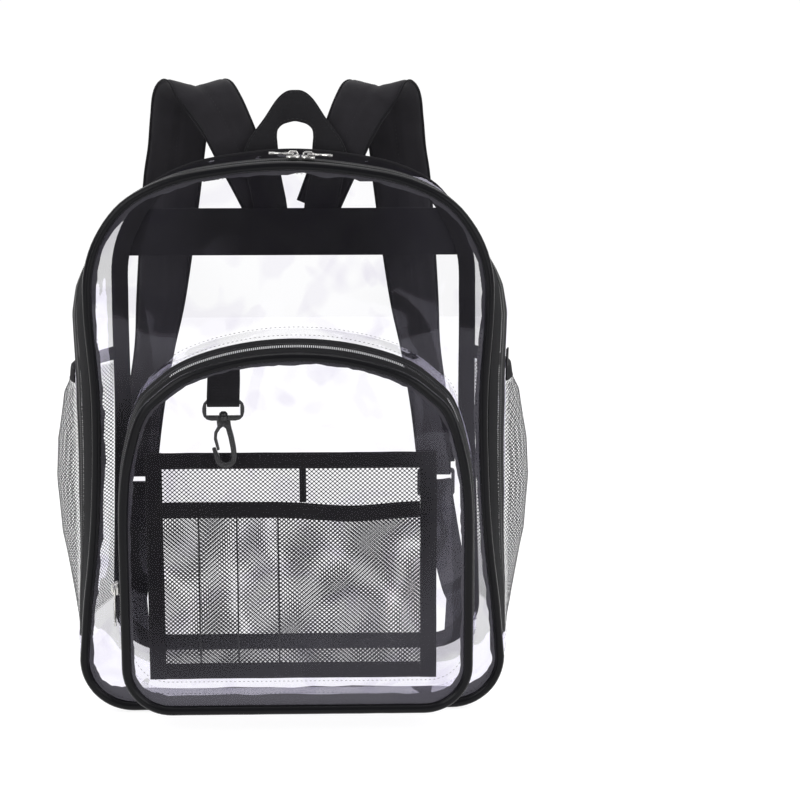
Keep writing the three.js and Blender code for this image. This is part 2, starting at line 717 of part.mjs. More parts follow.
// Webbing tab from the panel round the loop's bar and back up to its seam
function keyTab() {
  const panelFace = FRONT - CLEAR_WALL / 2 - CLEARANCE - CLOTH_WALL / 2;
  const doubled = panelFace - CLOTH_WALL - CLEARANCE;
  const wrap = Math.hypot(HOOK_THICKNESS, LOOP_BAR) / 2 + CLEARANCE + CLOTH_WALL / 2;
  const around = (angle) => ({
    y: hookDepth + wrap * Math.cos(radians(angle)),
    z: barHeight + wrap * Math.sin(radians(angle)),
  });
  const course = [
    { y: panelFace, z: TAB_TOP },
    { y: panelFace, z: mix(TAB_TOP, barHeight, 0.4) },
    { y: panelFace, z: mix(TAB_TOP, barHeight, 0.46) },
    { y: mix(panelFace, hookDepth + wrap, 0.45), z: mix(TAB_TOP, barHeight, 0.7) },
    ...steps(WRAP_START, -180 - WRAP_START, 5).map(around),
    { y: mix(panelFace, hookDepth, 0.62), z: mix(TAB_TOP, barHeight, 0.52) },
    { y: mix(doubled, hookDepth, 0.12), z: mix(TAB_TOP, barHeight, 0.27) },
    { y: doubled, z: mix(TAB_TOP, barHeight, 0.04) },
  ];
  const rows = course.map(({ y, z }) => ({
    at: new THREE.Vector3(TAB_X, y, z),
    width: TAB_WIDTH,
    thick: CLOTH_WALL,
    across: new THREE.Vector3(1, 0, 0),
  }));
  add("key_tab", ribbon(rows), STRAP_CLOTH);
}

// Loop of the swivel hook: a flat ring with a boss that the hook's pin turns in
function hookLoop() {
  const half = LOOP_WIDTH / 2;
  const slot = TAB_WIDTH / 2 + 2 * CLEARANCE;
  const bore = HOOK_PIN + CLEARANCE;
  const lower = -LOOP_HEIGHT + LOOP_BAR / 2;
  const upper = LOOP_BAR / 2;
  const outside = roundedRectangle(-half, half, lower, upper, LOOP_HEIGHT * 0.4, 3);
  const inside = rectangle(-slot, slot, lower + LOOP_BAR, -LOOP_BAR / 2);
  const ring = plate(outside, -HOOK_THICKNESS / 2, HOOK_THICKNESS / 2, [inside]);
  const boss = new THREE.CylinderGeometry(bore * 1.8, bore * 1.8, LOOP_BAR, PIN_SIDES);
  const hole = new THREE.CylinderGeometry(bore, bore, LOOP_BAR * 2, PIN_SIDES);
  for (const part of [boss, hole]) part.rotateX(Math.PI / 2).translate(0, 0, lower + LOOP_BAR / 2);
  const mesh = add("hook_loop", cut(join(ring, boss), hole), BLACK_PLASTIC);
  mesh.position.set(TAB_X, hookDepth, barHeight);
}

// One side of a tapered stroke along rows of { x, z, half }
function strokeEdge(rows, side) {
  return rows.map((row, k) => {
    const before = rows[Math.max(k - 1, 0)];
    const after = rows[Math.min(k + 1, rows.length - 1)];
    const run = new THREE.Vector2(after.x - before.x, after.z - before.z).normalize();
    return [row.x - run.y * row.half * side, row.z + run.x * row.half * side];
  });
}

// Snap hook: shoulder, spine, bowl and nose in one flat piece with its springy tongue, on a headed pin
function snapHook() {
  const w = HOOK_WIDTH / 14;
  const l = HOOK_LENGTH / 36;
  const scaled = (rows) => rows.map(({ x, z, half }) => ({ x: x * w, z: z * l, half }));
  const bowl = steps(0, -180, 6).map((angle) => ({
    x: 1.2 + 6.4 * Math.cos(radians(angle)),
    z: -27.6 + 6.4 * Math.sin(radians(angle)),
    half: 1.9,
  }));
  const spine = scaled([
    { x: 3.6, z: -5, half: 2 },
    { x: 5.4, z: -12, half: 2 },
    { x: 6.9, z: -20, half: 2 },
    ...bowl,
    { x: -6.4, z: -24, half: 1.5 },
    { x: -7.6, z: -20.5, half: 1.2 },
  ]);
  const tongue = scaled([
    { x: -3.4, z: -5, half: 1.3 },
    { x: -5.8, z: -9, half: 1.2 },
    { x: -6.2, z: -13.5, half: 1.1 },
    { x: -5, z: -18.5, half: 1 },
    { x: -4, z: -22, half: 0.9 },
  ]);
  const outline = [
    [-5 * w, 0],
    [5 * w, 0],
    ...strokeEdge(spine, 1),
    ...strokeEdge(spine, -1).reverse(),
    [-0.4 * w, -4.2 * l],
    ...strokeEdge(tongue, 1),
    ...strokeEdge(tongue, -1).reverse(),
  ];
  const body = plate(outline, -HOOK_THICKNESS / 2, HOOK_THICKNESS / 2);
  const neck = LOOP_BAR + 2 * CLEARANCE;
  const head = HOOK_PIN * 1.65;
  const profile = [
    [0, -2],
    [HOOK_PIN, -2],
    [HOOK_PIN, neck],
    [head, neck],
    [head * 0.9, neck + head * 0.5],
    [head * 0.5, neck + head * 0.85],
    [0, neck + head * 0.85],
  ];
  const pin = new THREE.LatheGeometry(profile.map(([r, h]) => new THREE.Vector2(r, h)), PIN_SIDES);
  pin.rotateX(Math.PI / 2);
  const mesh = add("snap_hook", join(body, pin), BLACK_PLASTIC);
  mesh.position.set(TAB_X, hookDepth, shoulder);
}

// Flat piece in the XY plane, from one height to another
function flatPiece(outline, low, high, holes = []) {
  const vectors = (points) => points.map(([x, y]) => new THREE.Vector2(x, y));
  const shape = new THREE.Shape(vectors(outline));
  for (const hole of holes) shape.holes.push(new THREE.Path(vectors(hole)));
  return new THREE.ExtrudeGeometry(shape, { depth: high - low, bevelEnabled: false }).translate(0, 0, low);
}

// Slider in its own frame: X along the zip, Z away from it, with a bridge for the pull
function sliderBody() {
  const half = SLIDER_LENGTH / 2;
  const across = SLIDER_WIDTH / 2;
  const base = flatPiece(roundedRectangle(-half, half, -across, across, 2.4, 2), 0, SLIDER_HEIGHT);
  const span = BRIDGE_SPAN / 2;
  const foot = SLIDER_HEIGHT - 0.5;
  const room = SLIDER_HEIGHT + BRIDGE_ROOM;
  const bridge = [
    [-span - BRIDGE_WALL, foot],
    [-span, foot],
    [-span, room],
    [span, room],
    [span, foot],
    [span + BRIDGE_WALL, foot],
    [span + BRIDGE_WALL, room],
    [span, room + BRIDGE_WALL],
    [-span, room + BRIDGE_WALL],
    [-span - BRIDGE_WALL, room],
  ];
  return join(base, plate(bridge, -BRIDGE_WIDTH / 2, BRIDGE_WIDTH / 2));
}

// Pull in its own frame: it hinges about Y at the origin and lies towards -X
function pullPlate(length) {
  const barEnd = PULL_THICKNESS / 2;
  const holeEnd = BRIDGE_SPAN / 2 + BRIDGE_WALL + 1.5;
  const holeHalf = BRIDGE_WIDTH / 2 + 0.6;
  const eye = holeHalf + 1.5;
  const end = -length;
  const upperEdge = [
    [barEnd, eye * 0.7],
    [barEnd - 1.2, eye],
    [-holeEnd, eye],
    [-holeEnd - 2.4, PULL_THICKNESS * 1.2],
    [end + 7, PULL_THICKNESS * 1.2],
    [end + 4.5, eye * 0.86],
    [end + 1, eye * 0.86],
    [end, eye * 0.5],
  ];
  const outline = [...upperEdge, ...upperEdge.slice().reverse().map(([x, y]) => [x, -y])];
  const hole = rectangle(-holeEnd, -barEnd - 0.1, -holeHalf, holeHalf);
  return flatPiece(outline, -PULL_THICKNESS / 2, PULL_THICKNESS / 2, [hole]);
}

// Slider and pull on a zip's coil at an index, with the pull lying towards the index's other side
function sliderAt(name, surface, index, depth, facing, length) {
  const seat = surface(index, depth, COIL_HEIGHT / 2 + CLEARANCE);
  const step = 0.2;
  const x = new THREE.Vector3().subVectors(surface(index + step, depth, 0), surface(index - step, depth, 0));
  x.multiplyScalar(facing).normalize();
  const y = new THREE.Vector3().subVectors(surface(index, depth + 1, 0), surface(index, depth - 1, 0));
  const z = new THREE.Vector3().crossVectors(y, x).multiplyScalar(facing).normalize();
  y.crossVectors(z, x);
  const frame = new THREE.Group();
  frame.applyMatrix4(new THREE.Matrix4().makeBasis(x, y, z).setPosition(seat));
  bag.add(frame);
  add(name + "_slider", sliderBody(), BRIGHT_METAL, frame);
  const pull = add(name + "_pull", pullPlate(length), BRIGHT_METAL, frame);
  pull.position.z = SLIDER_HEIGHT + BRIDGE_ROOM / 2;
}

// Index on the upper half of a seam where it passes a place across
function indexAcross(loop, x) {
  for (let k = Math.floor(loop.length / 4); k < loop.length * 0.75; k++) {
    if (loop[k + 1].x <= x) return k + (loop[k].x - x) / (loop[k].x - loop[k + 1].x);
  }
  return loop.length / 2;
}

function sliders() {
  const topDepth = mainZip.coilFront + MAIN_COIL / 2;
  const topIndex = (offset) => indexAcross(frontSeam, SLIDER_MIDDLE + offset);
  sliderAt("left", bodyWall, topIndex(-SLIDER_SPACING / 2), topDepth, -1, TOP_PULL_LENGTH);
  sliderAt("right", bodyWall, topIndex(SLIDER_SPACING / 2), topDepth, 1, TOP_PULL_LENGTH);
  const low = turnIndex - indexAt(pocketSeam, POCKET_SLIDER_HEIGHT);
  sliderAt("pocket", pocketWall, low, pocketZip.coilFront + POCKET_COIL / 2, -1, PULL_LENGTH);
}

// Where the side pockets lie from the front back, and their swell away from the side wall
const sideFront = mainZip.end + CLEARANCE;
function sideWall(index, depth, lift) {
  const up = (along(frontSeam, index).z - SIDE_BOTTOM) / (SIDE_TOP - SIDE_BOTTOM);
  const sweep = Math.sin((Math.PI * (depth - sideFront)) / (wallStop - sideFront));
  return bodyWall(index, depth, CLEARANCE + lift + SIDE_BULGE * column(SIDE_ROWS, "out", up) * sweep);
}

// Net pocket on each side with an elastic top edge, and a small cloth tab above the right one
function sidePockets() {
  const depths = steps(sideFront, wallStop, 6);
  const heights = (low, high, count) => steps(indexAt(frontSeam, low), indexAt(frontSeam, high), count);
  const net = heights(SIDE_BOTTOM, SIDE_TOP - SIDE_ELASTIC - CLEARANCE, 9);
  const elastic = heights(SIDE_TOP - SIDE_ELASTIC, SIDE_TOP, 1);
  const opposite = (indices) => indices.map((index) => turnIndex - index);
  const band = (name, indices, wallThickness, material) =>
    add(name, patch(sideWall, indices, depths, wallThickness, wallThickness), material);
  band("side_net_right", net, NET_WALL, NET);
  band("side_net_left", opposite(net), NET_WALL, NET);
  band("side_elastic_right", elastic, CLOTH_WALL, BLACK_CLOTH);
  band("side_elastic_left", opposite(elastic), CLOTH_WALL, BLACK_CLOTH);
  const tab = heights(SIDE_TOP + 2 * CLEARANCE, SIDE_TOP + SIDE_TAB, 1);
  const tabDepths = [sideFront, sideFront + SIDE_TAB * 0.7];
  add("side_tab", patch(bodyWall, tab, tabDepths, CLEARANCE + CLOTH_WALL, CLOTH_WALL), BLACK_CLOTH);
}

// Outline between two heights of the back seam, its sides moved in by an inset
function backStrip(low, high, inset) {
  const right = stations(indexAt(backSeam, low), indexAt(backSeam, high)).map((index) => {
    const p = along(backSeam, index);
    return [p.x - p.nx * inset, p.z - p.nz * inset];
  });
  return [...right, ...right.slice().reverse().map(([x, z]) => [-x, z])];
}

// Depths of the layers sewn on the outside of the back panel
const yokeFace = BACK + CLEARANCE + CLOTH_WALL;
const handleDepth = yokeFace + CLEARANCE + WEBBING_WALL / 2;

function backBands() {
  add("yoke_band", plate(backStrip(YOKE_BOTTOM, YOKE_TOP, 2), BACK + CLEARANCE, yokeFace), BLACK_CLOTH);
  const baseLow = seamLow + CLEARANCE + 0.5;
  const baseOutline = backStrip(baseLow, baseLow + BASE_BAND, 1);
  add("base_band", plate(baseOutline, BACK + CLEARANCE, yokeFace), BLACK_CLOTH);
}

function handle() {
  const foot = YOKE_BOTTOM + HANDLE_FOOT;
  const rise = HANDLE_TOP - foot;
  const reach = HANDLE_SPAN / 2;
  const place = (across, up, away) =>
    new THREE.Vector3(HANDLE_SHIFT + across * reach, handleDepth + away * HANDLE_BEND, foot + up * rise);
  const half = (side) =>
    HANDLE_ROWS.map((row) => {
      const inner = place(side * row.inner, row.innerUp, row.innerAway);
      const outer = place(side * row.outer, row.outerUp, row.outerAway);
      return { inner, outer };
    });
  const rows = [...half(-1), ...half(1).slice(0, -1).reverse()];
  const rings = rows.map(({ inner, outer }, k) => {
    const before = rows[Math.max(k - 1, 0)];
    const after = rows[Math.min(k + 1, rows.length - 1)];
    const ahead = new THREE.Vector3().addVectors(after.inner, after.outer);
    const forward = ahead.sub(before.inner).sub(before.outer);
    const across = new THREE.Vector3().subVectors(outer, inner);
    const thick = new THREE.Vector3().crossVectors(forward, across).setLength(WEBBING_WALL / 2);
    return [
      inner.clone().add(thick),
      outer.clone().add(thick),
      outer.clone().sub(thick),
      inner.clone().sub(thick),
    ];
  });
  add("handle", loft(rings), STRAP_CLOTH);
}

// Padded strap with the adjuster under its end and the webbing from there to its anchor
function strap(name, side, spread) {
  const rows = STRAP_ROWS.map(({ out, away, up, wide, pad }) => ({
    at: new THREE.Vector3(side * out * spread, BACK + away * STRAP_STANDOFF, mix(STRAP_END, STRAP_TOP, up)),
    width: STRAP_WIDTH * wide,
    thick: STRAP_PAD * pad,
    across: new THREE.Vector3(1, 0, 0),
  }));
  add("strap_" + name, ribbon(rows, 3, STRAP_EDGE), STRAP_CLOTH);

  const end = rows[rows.length - 1].at;
  const half = ADJUSTER_WIDTH / 2;
  const slot = WEBBING_WIDTH / 2 + 2 * CLEARANCE;
  const window = (ADJUSTER_HEIGHT - 3 * ADJUSTER_BAR) / 2;
  const upper = rectangle(-slot, slot, -ADJUSTER_BAR - window, -ADJUSTER_BAR);
  const lowerBar = -ADJUSTER_HEIGHT + ADJUSTER_BAR;
  const lower = rectangle(-slot, slot, lowerBar, lowerBar + window);
  const outline = roundedRectangle(-half, half, -ADJUSTER_HEIGHT, 0, 3, 3);
  const frame = plate(outline, -ADJUSTER_WALL / 2, ADJUSTER_WALL / 2, [upper, lower]);
  const adjuster = add("adjuster_" + name, frame, BLACK_PLASTIC);
  adjuster.position.set(end.x, end.y, end.z - STRAP_PAD / 2);

  const tabFace = yokeFace + CLEARANCE + CLOTH_WALL;
  const from = new THREE.Vector3(
    end.x,
    end.y - ADJUSTER_WALL / 2 - CLEARANCE - WEBBING_WALL / 2,
    adjuster.position.z - ADJUSTER_BAR - window,
  );
  const to = new THREE.Vector3(side * ANCHOR_X, tabFace + CLEARANCE + WEBBING_WALL / 2, ANCHOR_HEIGHT / 2);
  const webbing = WEBBING_ROWS.map(({ out, away, down }) => ({
    at: new THREE.Vector3(mix(from.x, to.x, out), mix(from.y, to.y, away), mix(from.z, to.z, down)),
    width: WEBBING_WIDTH,
    thick: WEBBING_WALL,
    across: new THREE.Vector3(1, 0, 0),
  }));
  add("webbing_" + name, ribbon(webbing), STRAP_CLOTH);

  const reach = ANCHOR_WIDTH / 2;
  const tab = [
    [ANCHOR_X - reach, seamLow + CLEARANCE + BASE_BAND * 0.3],
    [ANCHOR_X + reach * 0.2, seamLow + CLEARANCE + BASE_BAND * 0.3],
    [ANCHOR_X + reach * 0.8, ANCHOR_HEIGHT * 0.6],
    [ANCHOR_X + reach * 0.86, ANCHOR_HEIGHT],
    [ANCHOR_X - reach * 0.86, ANCHOR_HEIGHT],
  ].map(([x, z]) => [side * x, z]);
  add("anchor_" + name, plate(tab, yokeFace + CLEARANCE, tabFace), BLACK_CLOTH);
}

mainBody();
backBinding();
zipBand("main", bodyWall, mainZip, MAIN_TAPE, MAIN_COIL, mainEnd);
zipEnds("main", bodyWall, frontSeam, mainZip, MAIN_ZIP_END);
frontPocket();
zipBand("pocket", pocketWall, pocketZip, POCKET_TAPE, POCKET_COIL, pocketEnd);
zipEnds("pocket", pocketWall, pocketSeam, pocketZip, POCKET_ZIP_END);
organiser();
keyTab();
hookLoop();
snapHook();
sliders();
sidePockets();
backBands();
handle();
strap("right", 1, STRAP_SPREAD_RIGHT);
strap("left", -1, STRAP_SPREAD_LEFT);

// The origin lies below the middle of the whole bag
const bounds = new THREE.Box3().setFromObject(bag);
const middle = bounds.getCenter(new THREE.Vector3());
bag.position.set(-middle.x, -middle.y, -bounds.min.z);
const root = new THREE.Group();
root.add(bag);
export default root;
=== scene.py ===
import math

import bmesh
import bpy
import numpy as np
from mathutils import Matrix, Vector, noise


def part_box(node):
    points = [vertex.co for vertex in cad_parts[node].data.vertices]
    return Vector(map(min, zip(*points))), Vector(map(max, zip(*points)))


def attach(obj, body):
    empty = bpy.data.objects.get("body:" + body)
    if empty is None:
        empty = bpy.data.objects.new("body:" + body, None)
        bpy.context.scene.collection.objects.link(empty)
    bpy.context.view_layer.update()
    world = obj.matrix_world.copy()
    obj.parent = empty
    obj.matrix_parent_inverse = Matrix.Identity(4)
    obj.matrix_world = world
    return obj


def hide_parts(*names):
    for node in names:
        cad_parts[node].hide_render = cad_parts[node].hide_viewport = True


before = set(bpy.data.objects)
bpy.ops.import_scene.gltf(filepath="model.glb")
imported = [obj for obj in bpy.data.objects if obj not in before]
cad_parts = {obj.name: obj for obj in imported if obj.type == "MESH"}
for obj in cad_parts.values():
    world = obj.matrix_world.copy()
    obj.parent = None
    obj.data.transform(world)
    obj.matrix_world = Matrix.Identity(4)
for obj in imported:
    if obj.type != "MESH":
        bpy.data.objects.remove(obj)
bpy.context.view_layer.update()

# Sizes in millimetres in the bag's own frame: X to the right, +Z up, the front faces -Y.
# They repeat the driving sizes of the part's source. The CAD nodes give the frame's offset.
BODY_WIDTH = 318
BACK_WIDTH = 300
BODY_HEIGHT = 420
FRONT = -75
BACK = 75
BODY_CORNER = 37
BODY_BOW = 22
BOW_LEAN = 0.75
CLEAR_WALL = 1
CLOTH_WALL = 1.2
PIPING = 7
CLEARANCE = 0.3
PIPING_SIDES = 8

MAIN_ZIP = {"tape": 12, "coil": 5, "end": 54}
POCKET_ZIP = {"tape": 7.5, "coil": 4.5, "end": 84}
END_TAB = 14

POCKET_WIDTH = 253
POCKET_BASE_WIDTH = 265
POCKET_TOP = 283
POCKET_BASE_TOP = 297
POCKET_BOTTOM = 17
POCKET_DEPTH = 50
POCKET_CORNER = 33
POCKET_SHIFT = 5
POCKET_BOW = 3

ORGANISER_LEFT = -109
ORGANISER_RIGHT = 110
ORGANISER_BOTTOM = 26
ORGANISER_TOP = 203
ORGANISER_MIDDLE = 165
MIDDLE_DIP = 3.5
MIDDLE_DIP_X = 45
MIDDLE_DIP_SPAN = 32
BINDING = 12.5
NET_WALL = 1
DIVIDER_X = 9
DIVIDER_WIDTH = 5
NET_SEAMS = (-70, -41, -10)
PEN_SEAM = 1.3

TAB_X = -49
TAB_WIDTH = 24
TAB_TOP = 272
TAB_LENGTH = 26
WRAP_START = 25
HOOK_REACH = 14.5
LOOP_BAR = 3.6
HOOK_THICKNESS = 4

SIDE_BOTTOM = 47
SIDE_TOP = 262
SIDE_BULGE = 22
SIDE_ELASTIC = 11
SIDE_TAB = 14

BACK_BINDING = 10
YOKE_BOTTOM = 334
YOKE_TOP = 373
BASE_BAND = 12
HANDLE_SPAN = 88
HANDLE_TOP = 466
HANDLE_BEND = 18
HANDLE_SHIFT = 2
HANDLE_FOOT = 8
WEBBING_WALL = 1.6
STRAP_TOP = 466
STRAP_END = 150
STRAP_SPREAD = {"left": 136, "right": 120}
STRAP_STANDOFF = 54
STRAP_WIDTH = 48
STRAP_PAD = 8
WEBBING_WIDTH = 25
ADJUSTER_HEIGHT = 24
ADJUSTER_BAR = 4
ADJUSTER_WALL = 3
ANCHOR_X = 139
ANCHOR_HEIGHT = 46
ANCHOR_WIDTH = 30

# Halves of the seams above their bottom corners: shares of half the width and of the height
BODY_ROWS = [
    # across, up
    (0.975, 0.2),
    (0.95, 0.277),
    (0.925, 0.39),
    (0.912, 0.577),
    (0.937, 0.74),
    (0.931, 0.807),
    (0.88, 0.868),
    (0.758, 0.93),
    (0.553, 0.971),
    (0.3, 0.991),
    (0, 1),
]
BACK_ROWS = [
    # across, up
    (0.99, 0.2),
    (0.98, 0.31),
    (0.965, 0.5),
    (0.965, 0.71),
    (0.955, 0.8),
    (0.9, 0.86),
    (0.77, 0.93),
    (0.56, 0.971),
    (0.3, 0.991),
    (0, 1),
]
POCKET_ROWS = [
    # across, up
    (1, 0.316),
    (0.992, 0.605),
    (0.957, 0.722),
    (0.87, 0.846),
    (0.767, 0.895),
    (0.664, 0.932),
    (0.51, 0.963),
    (0.26, 0.991),
    (0, 1),
]
# How far the sides bow out and the side nets stand out on the way up
BOW_ROWS = [
    # up, out
    (0, 0.15),
    (0.12, 0.5),
    (0.23, 0.68),
    (0.38, 0.9),
    (0.56, 1),
    (0.73, 0.9),
    (0.776, 0.72),
    (0.83, 0.28),
    (0.9, 0.16),
    (1, 0.2),
]
SIDE_ROWS = [
    # up, out
    (0, 0),
    (0.1, 0.33),
    (0.35, 0.88),
    (0.56, 1),
    (0.7, 0.93),
    (0.89, 0.57),
    (0.96, 0.22),
    (1, 0.16),
]
# Course of a padded strap from the yoke over its fold to its lower end
STRAP_ROWS = [
    # out, away, up, wide, pad
    (0.16, 0.11, 0.7, 0.69, 0.35),
    (0.243, 0.175, 0.775, 0.73, 0.8),
    (0.324, 0.25, 0.845, 0.77, 1),
    (0.386, 0.33, 0.902, 0.81, 1),
    (0.456, 0.43, 0.956, 0.88, 1),
    (0.522, 0.55, 0.99, 0.96, 1),
    (0.596, 0.71, 1, 1.06, 1),
    (0.66, 0.87, 0.975, 1.04, 1),
    (0.695, 0.96, 0.918, 0.97, 1),
    (0.72, 1, 0.84, 0.94, 1),
    (0.746, 1, 0.763, 0.96, 1),
    (0.835, 1, 0.446, 0.81, 1),
    (0.879, 0.96, 0.316, 0.66, 1),
    (0.941, 0.87, 0.158, 0.62, 0.9),
    (0.989, 0.78, 0, 0.62, 0.5),
]
# Course of the webbing from the adjuster to its anchor
WEBBING_ROWS = [
    # out, away, down
    (0, 0, 0),
    (0.2, 0.1, 0.24),
    (0.5, 0.42, 0.55),
    (0.8, 0.82, 0.76),
    (1, 0.97, 0.84),
    (1, 0.985, 0.92),
    (1, 1, 1),
]
# Half of the carrying handle: its inner and outer edge as shares of its half width, height and bend
HANDLE_ROWS = [
    # inner, up, away, outer, up, away
    (0.11, 0, 0, 0.7, 0, 0),
    (0.16, 0.26, 0, 0.77, 0.24, 0),
    (0.27, 0.48, 0, 0.9, 0.47, 0.04),
    (0.32, 0.66, 0.1, 0.92, 0.63, 0.14),
    (0.33, 0.71, 0.2, 0.76, 0.73, 0.3),
    (0.31, 0.75, 0.28, 0.57, 0.82, 0.55),
    (0.22, 0.78, 0.36, 0.34, 0.94, 0.84),
    (0.12, 0.792, 0.4, 0.17, 0.99, 0.97),
    (0, 0.8, 0.42, 0, 1, 1),
]

# Details that only the looks have
REFINE = 4
RIM_STEPS = 40
TOOTH_PITCH = 1.5
NET_ACROSS = 3.5
NET_DOWN = 3.1
NET_OPEN = 0.77
NET_CUT = 0.2
NET_SLACK = 2.2
LOOP_SEWN = 7
# The photograph shows little reflection round these spots (x, z, reach in metres), so the clear
# sheets keep only a share of their shine there.
CALM_SPOTS = ((-0.08, 0.16, 0.14), (0.0, 0.365, 0.11), (0.03, 0.17, 0.11), (-0.16, 0.2, 0.05))
CALM_LEAST = 0.12
# Painted reflection veil: the tint of random pale patches painted into what the clear sheets let through.
PAINTED_VEIL_TINT = (0.92, 0.91, 0.945)
PAD_SHARE = 0.42
STITCH_PITCH = 3.4
STITCH_LENGTH = 2.3
STITCH_RADIUS = 0.22
FLANGE = 6
ROOM_FRONT = 0.26
ROOM_BACK = 0.8
SWELL_CAP = 2.6
SWELL_FRAMES = 18

# Camera in metres and degrees, fitted to the bag's edges in the photograph for a bag 420 mm tall and
# 150 mm deep, then moved 40 mm sideways and turned back, so that the bag's back is centred
EYE = (0.040, -1.526, 0.518)
EYE_DOWN = 10.777
EYE_TURN = -1.669
EYE_LENS = 88.74

OFFSET_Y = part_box("front_panel")[0][1] * 1000 - (FRONT - CLEAR_WALL / 2)
INDEX_TURN = 12 + RIM_STEPS


# Curves and seams


def mix(a, b, share):
    return a + (b - a) * share


def unit(vectors):
    return vectors / np.maximum(np.linalg.norm(vectors, axis=-1, keepdims=True), 1e-9)


def run_lengths(points):
    """Length of a polyline up to each of its points."""
    return np.concatenate([[0], np.cumsum(np.linalg.norm(np.diff(points, axis=0), axis=1))])


def at_depth(x, z, depth):
    """Points at one depth, from their places across and up."""
    return np.column_stack([x, np.full(len(x), float(depth)), z])


def resample(points, count):
    """Evenly spaced points, count steps, along a polyline."""
    along_it = run_lengths(points)
    places = np.linspace(0, along_it[-1], count + 1)
    return np.stack([np.interp(places, along_it, column) for column in points.T], axis=1)


def spline(points, count, even=True):
    """Points on a centripetal Catmull-Rom curve: count even steps, or count steps for each span."""
    points = np.asarray(points, float)
    padded = np.vstack([2 * points[0] - points[1], points, 2 * points[-1] - points[-2]])
    per_span = 16 if even else count
    fine = []
    for a, b, c, d in zip(padded, padded[1:], padded[2:], padded[3:]):
        ab, bc, cd = (max(np.linalg.norm(q[:3] - p[:3]), 1e-9) ** 0.5 for p, q in ((a, b), (b, c), (c, d)))
        start = ((b - a) / ab - (c - a) / (ab + bc) + (c - b) / bc) * bc
        end = ((c - b) / bc - (d - b) / (bc + cd) + (d - c) / cd) * bc
        t = np.linspace(0, 1, per_span, endpoint=False)[:, None]
        fine.append(
            (2 * t**3 - 3 * t**2 + 1) * b
            + (t**3 - 2 * t**2 + t) * start
            + (3 * t**2 - 2 * t**3) * c
            + (t**3 - t**2) * end
        )
    fine = np.vstack([*fine, points[-1:]])
    return resample(fine, count) if even else fine


def seam(width, bottom, top, corner, rows, shift=0):
    """Stations of a closed seam from the middle of its bottom round to the right: x, z and outward nx, nz."""
    half = width / 2
    flat = half - corner
    floor = [(k / (2 * REFINE) * flat, bottom) for k in range(2 * REFINE)]
    turn = np.radians(np.linspace(-90, 0, 4 * REFINE, endpoint=False))
    arc = np.stack([flat + corner * np.cos(turn), bottom + corner + corner * np.sin(turn)], axis=1)
    side = [(half, bottom + corner)] + [(across * half, mix(bottom, top, up)) for across, up in rows]
    rim = spline(side + [(-x, z) for x, z in side[-2::-1]], RIM_STEPS * REFINE)
    right = np.vstack([floor, arc])
    loop = np.vstack([right, rim, right[:0:-1] * (-1, 1)])
    run = unit(np.roll(loop, -1, axis=0) - np.roll(loop, 1, axis=0))
    return np.column_stack([loop[:, 0] + shift, loop[:, 1], run[:, 1], -run[:, 0]])


def along(loop, index):
    """x, z, nx and nz at an index on a seam, counted in the source's steps."""
    place = np.asarray(index, float) * REFINE
    low = np.floor(place).astype(int)
    share = (place - low)[..., None]
    return mix(loop[low % len(loop)], loop[(low + 1) % len(loop)], share)


def index_at(loop, height):
    """Index on the right half of a seam where it reaches a height."""
    half = len(loop) // 2
    start = 3 * REFINE
    return np.interp(height, loop[start:half, 1], np.arange(start, half)) / REFINE


def wall(front, back, front_depth, back_depth, bow):
    """Surface between two seams that bows outwards: a function of index, depth and lift."""

    def surface(index, depth, lift=0.0):
        index, depth, lift = np.broadcast_arrays(*(np.asarray(v, float) for v in (index, depth, lift)))
        a = along(front, index)
        b = along(back, index)
        share = (depth - front_depth) / (back_depth - front_depth)
        middle = mix(a, b, share[..., None])
        normal = unit(middle[..., 2:])
        out = bow(a, share) + lift
        x = middle[..., 0] + normal[..., 0] * out
        z = middle[..., 1] + normal[..., 1] * out
        return np.stack([x, depth, z], axis=-1)

    return surface


SEAM_LOW = PIPING / 2
SEAM_HIGH = BODY_HEIGHT - PIPING / 2
front_seam = seam(BODY_WIDTH, SEAM_LOW, SEAM_HIGH, BODY_CORNER, BODY_ROWS)
back_seam = seam(BACK_WIDTH, SEAM_LOW, SEAM_HIGH, BODY_CORNER, BACK_ROWS)
pocket_seam = seam(POCKET_WIDTH, POCKET_BOTTOM, POCKET_TOP, POCKET_CORNER, POCKET_ROWS, POCKET_SHIFT)
pocket_base_seam = seam(
    POCKET_BASE_WIDTH, POCKET_BOTTOM, POCKET_BASE_TOP, POCKET_CORNER, POCKET_ROWS, POCKET_SHIFT
)


def table(rows, place):
    ups, outs = zip(*rows)
    return np.interp(place, ups, outs)


def body_bow(place, share):
    up = (place[..., 1] - SEAM_LOW) / (SEAM_HIGH - SEAM_LOW)
    sweep = np.sin(math.pi * np.clip(share, 0, 1) ** BOW_LEAN)
    down = np.maximum(-place[..., 3], 0) ** 2
    return BODY_BOW * table(BOW_ROWS, up) * sweep * (1 - down) + PIPING / 2 * down


def pocket_bow(place, share):
    return POCKET_BOW * np.sin(math.pi * np.clip(share, 0, 1))


POCKET_FRONT = FRONT - POCKET_DEPTH
POCKET_SEAT = FRONT - CLEAR_WALL / 2 - CLEARANCE
body_wall = wall(front_seam, back_seam, FRONT, BACK, body_bow)
pocket_wall = wall(pocket_seam, pocket_base_seam, POCKET_FRONT, POCKET_SEAT, pocket_bow)


def zip_depths(front, sizes):
    """Depths at which the front tape, the coil, the back tape and the wall behind a zip start."""
    tape_front = front + PIPING / 2 / math.cos(math.pi / PIPING_SIDES) + CLEARANCE
    coil_front = tape_front + sizes["tape"] + CLEARANCE
    tape_back = coil_front + sizes["coil"] + CLEARANCE
    return tape_front, coil_front, tape_back, tape_back + sizes["tape"]


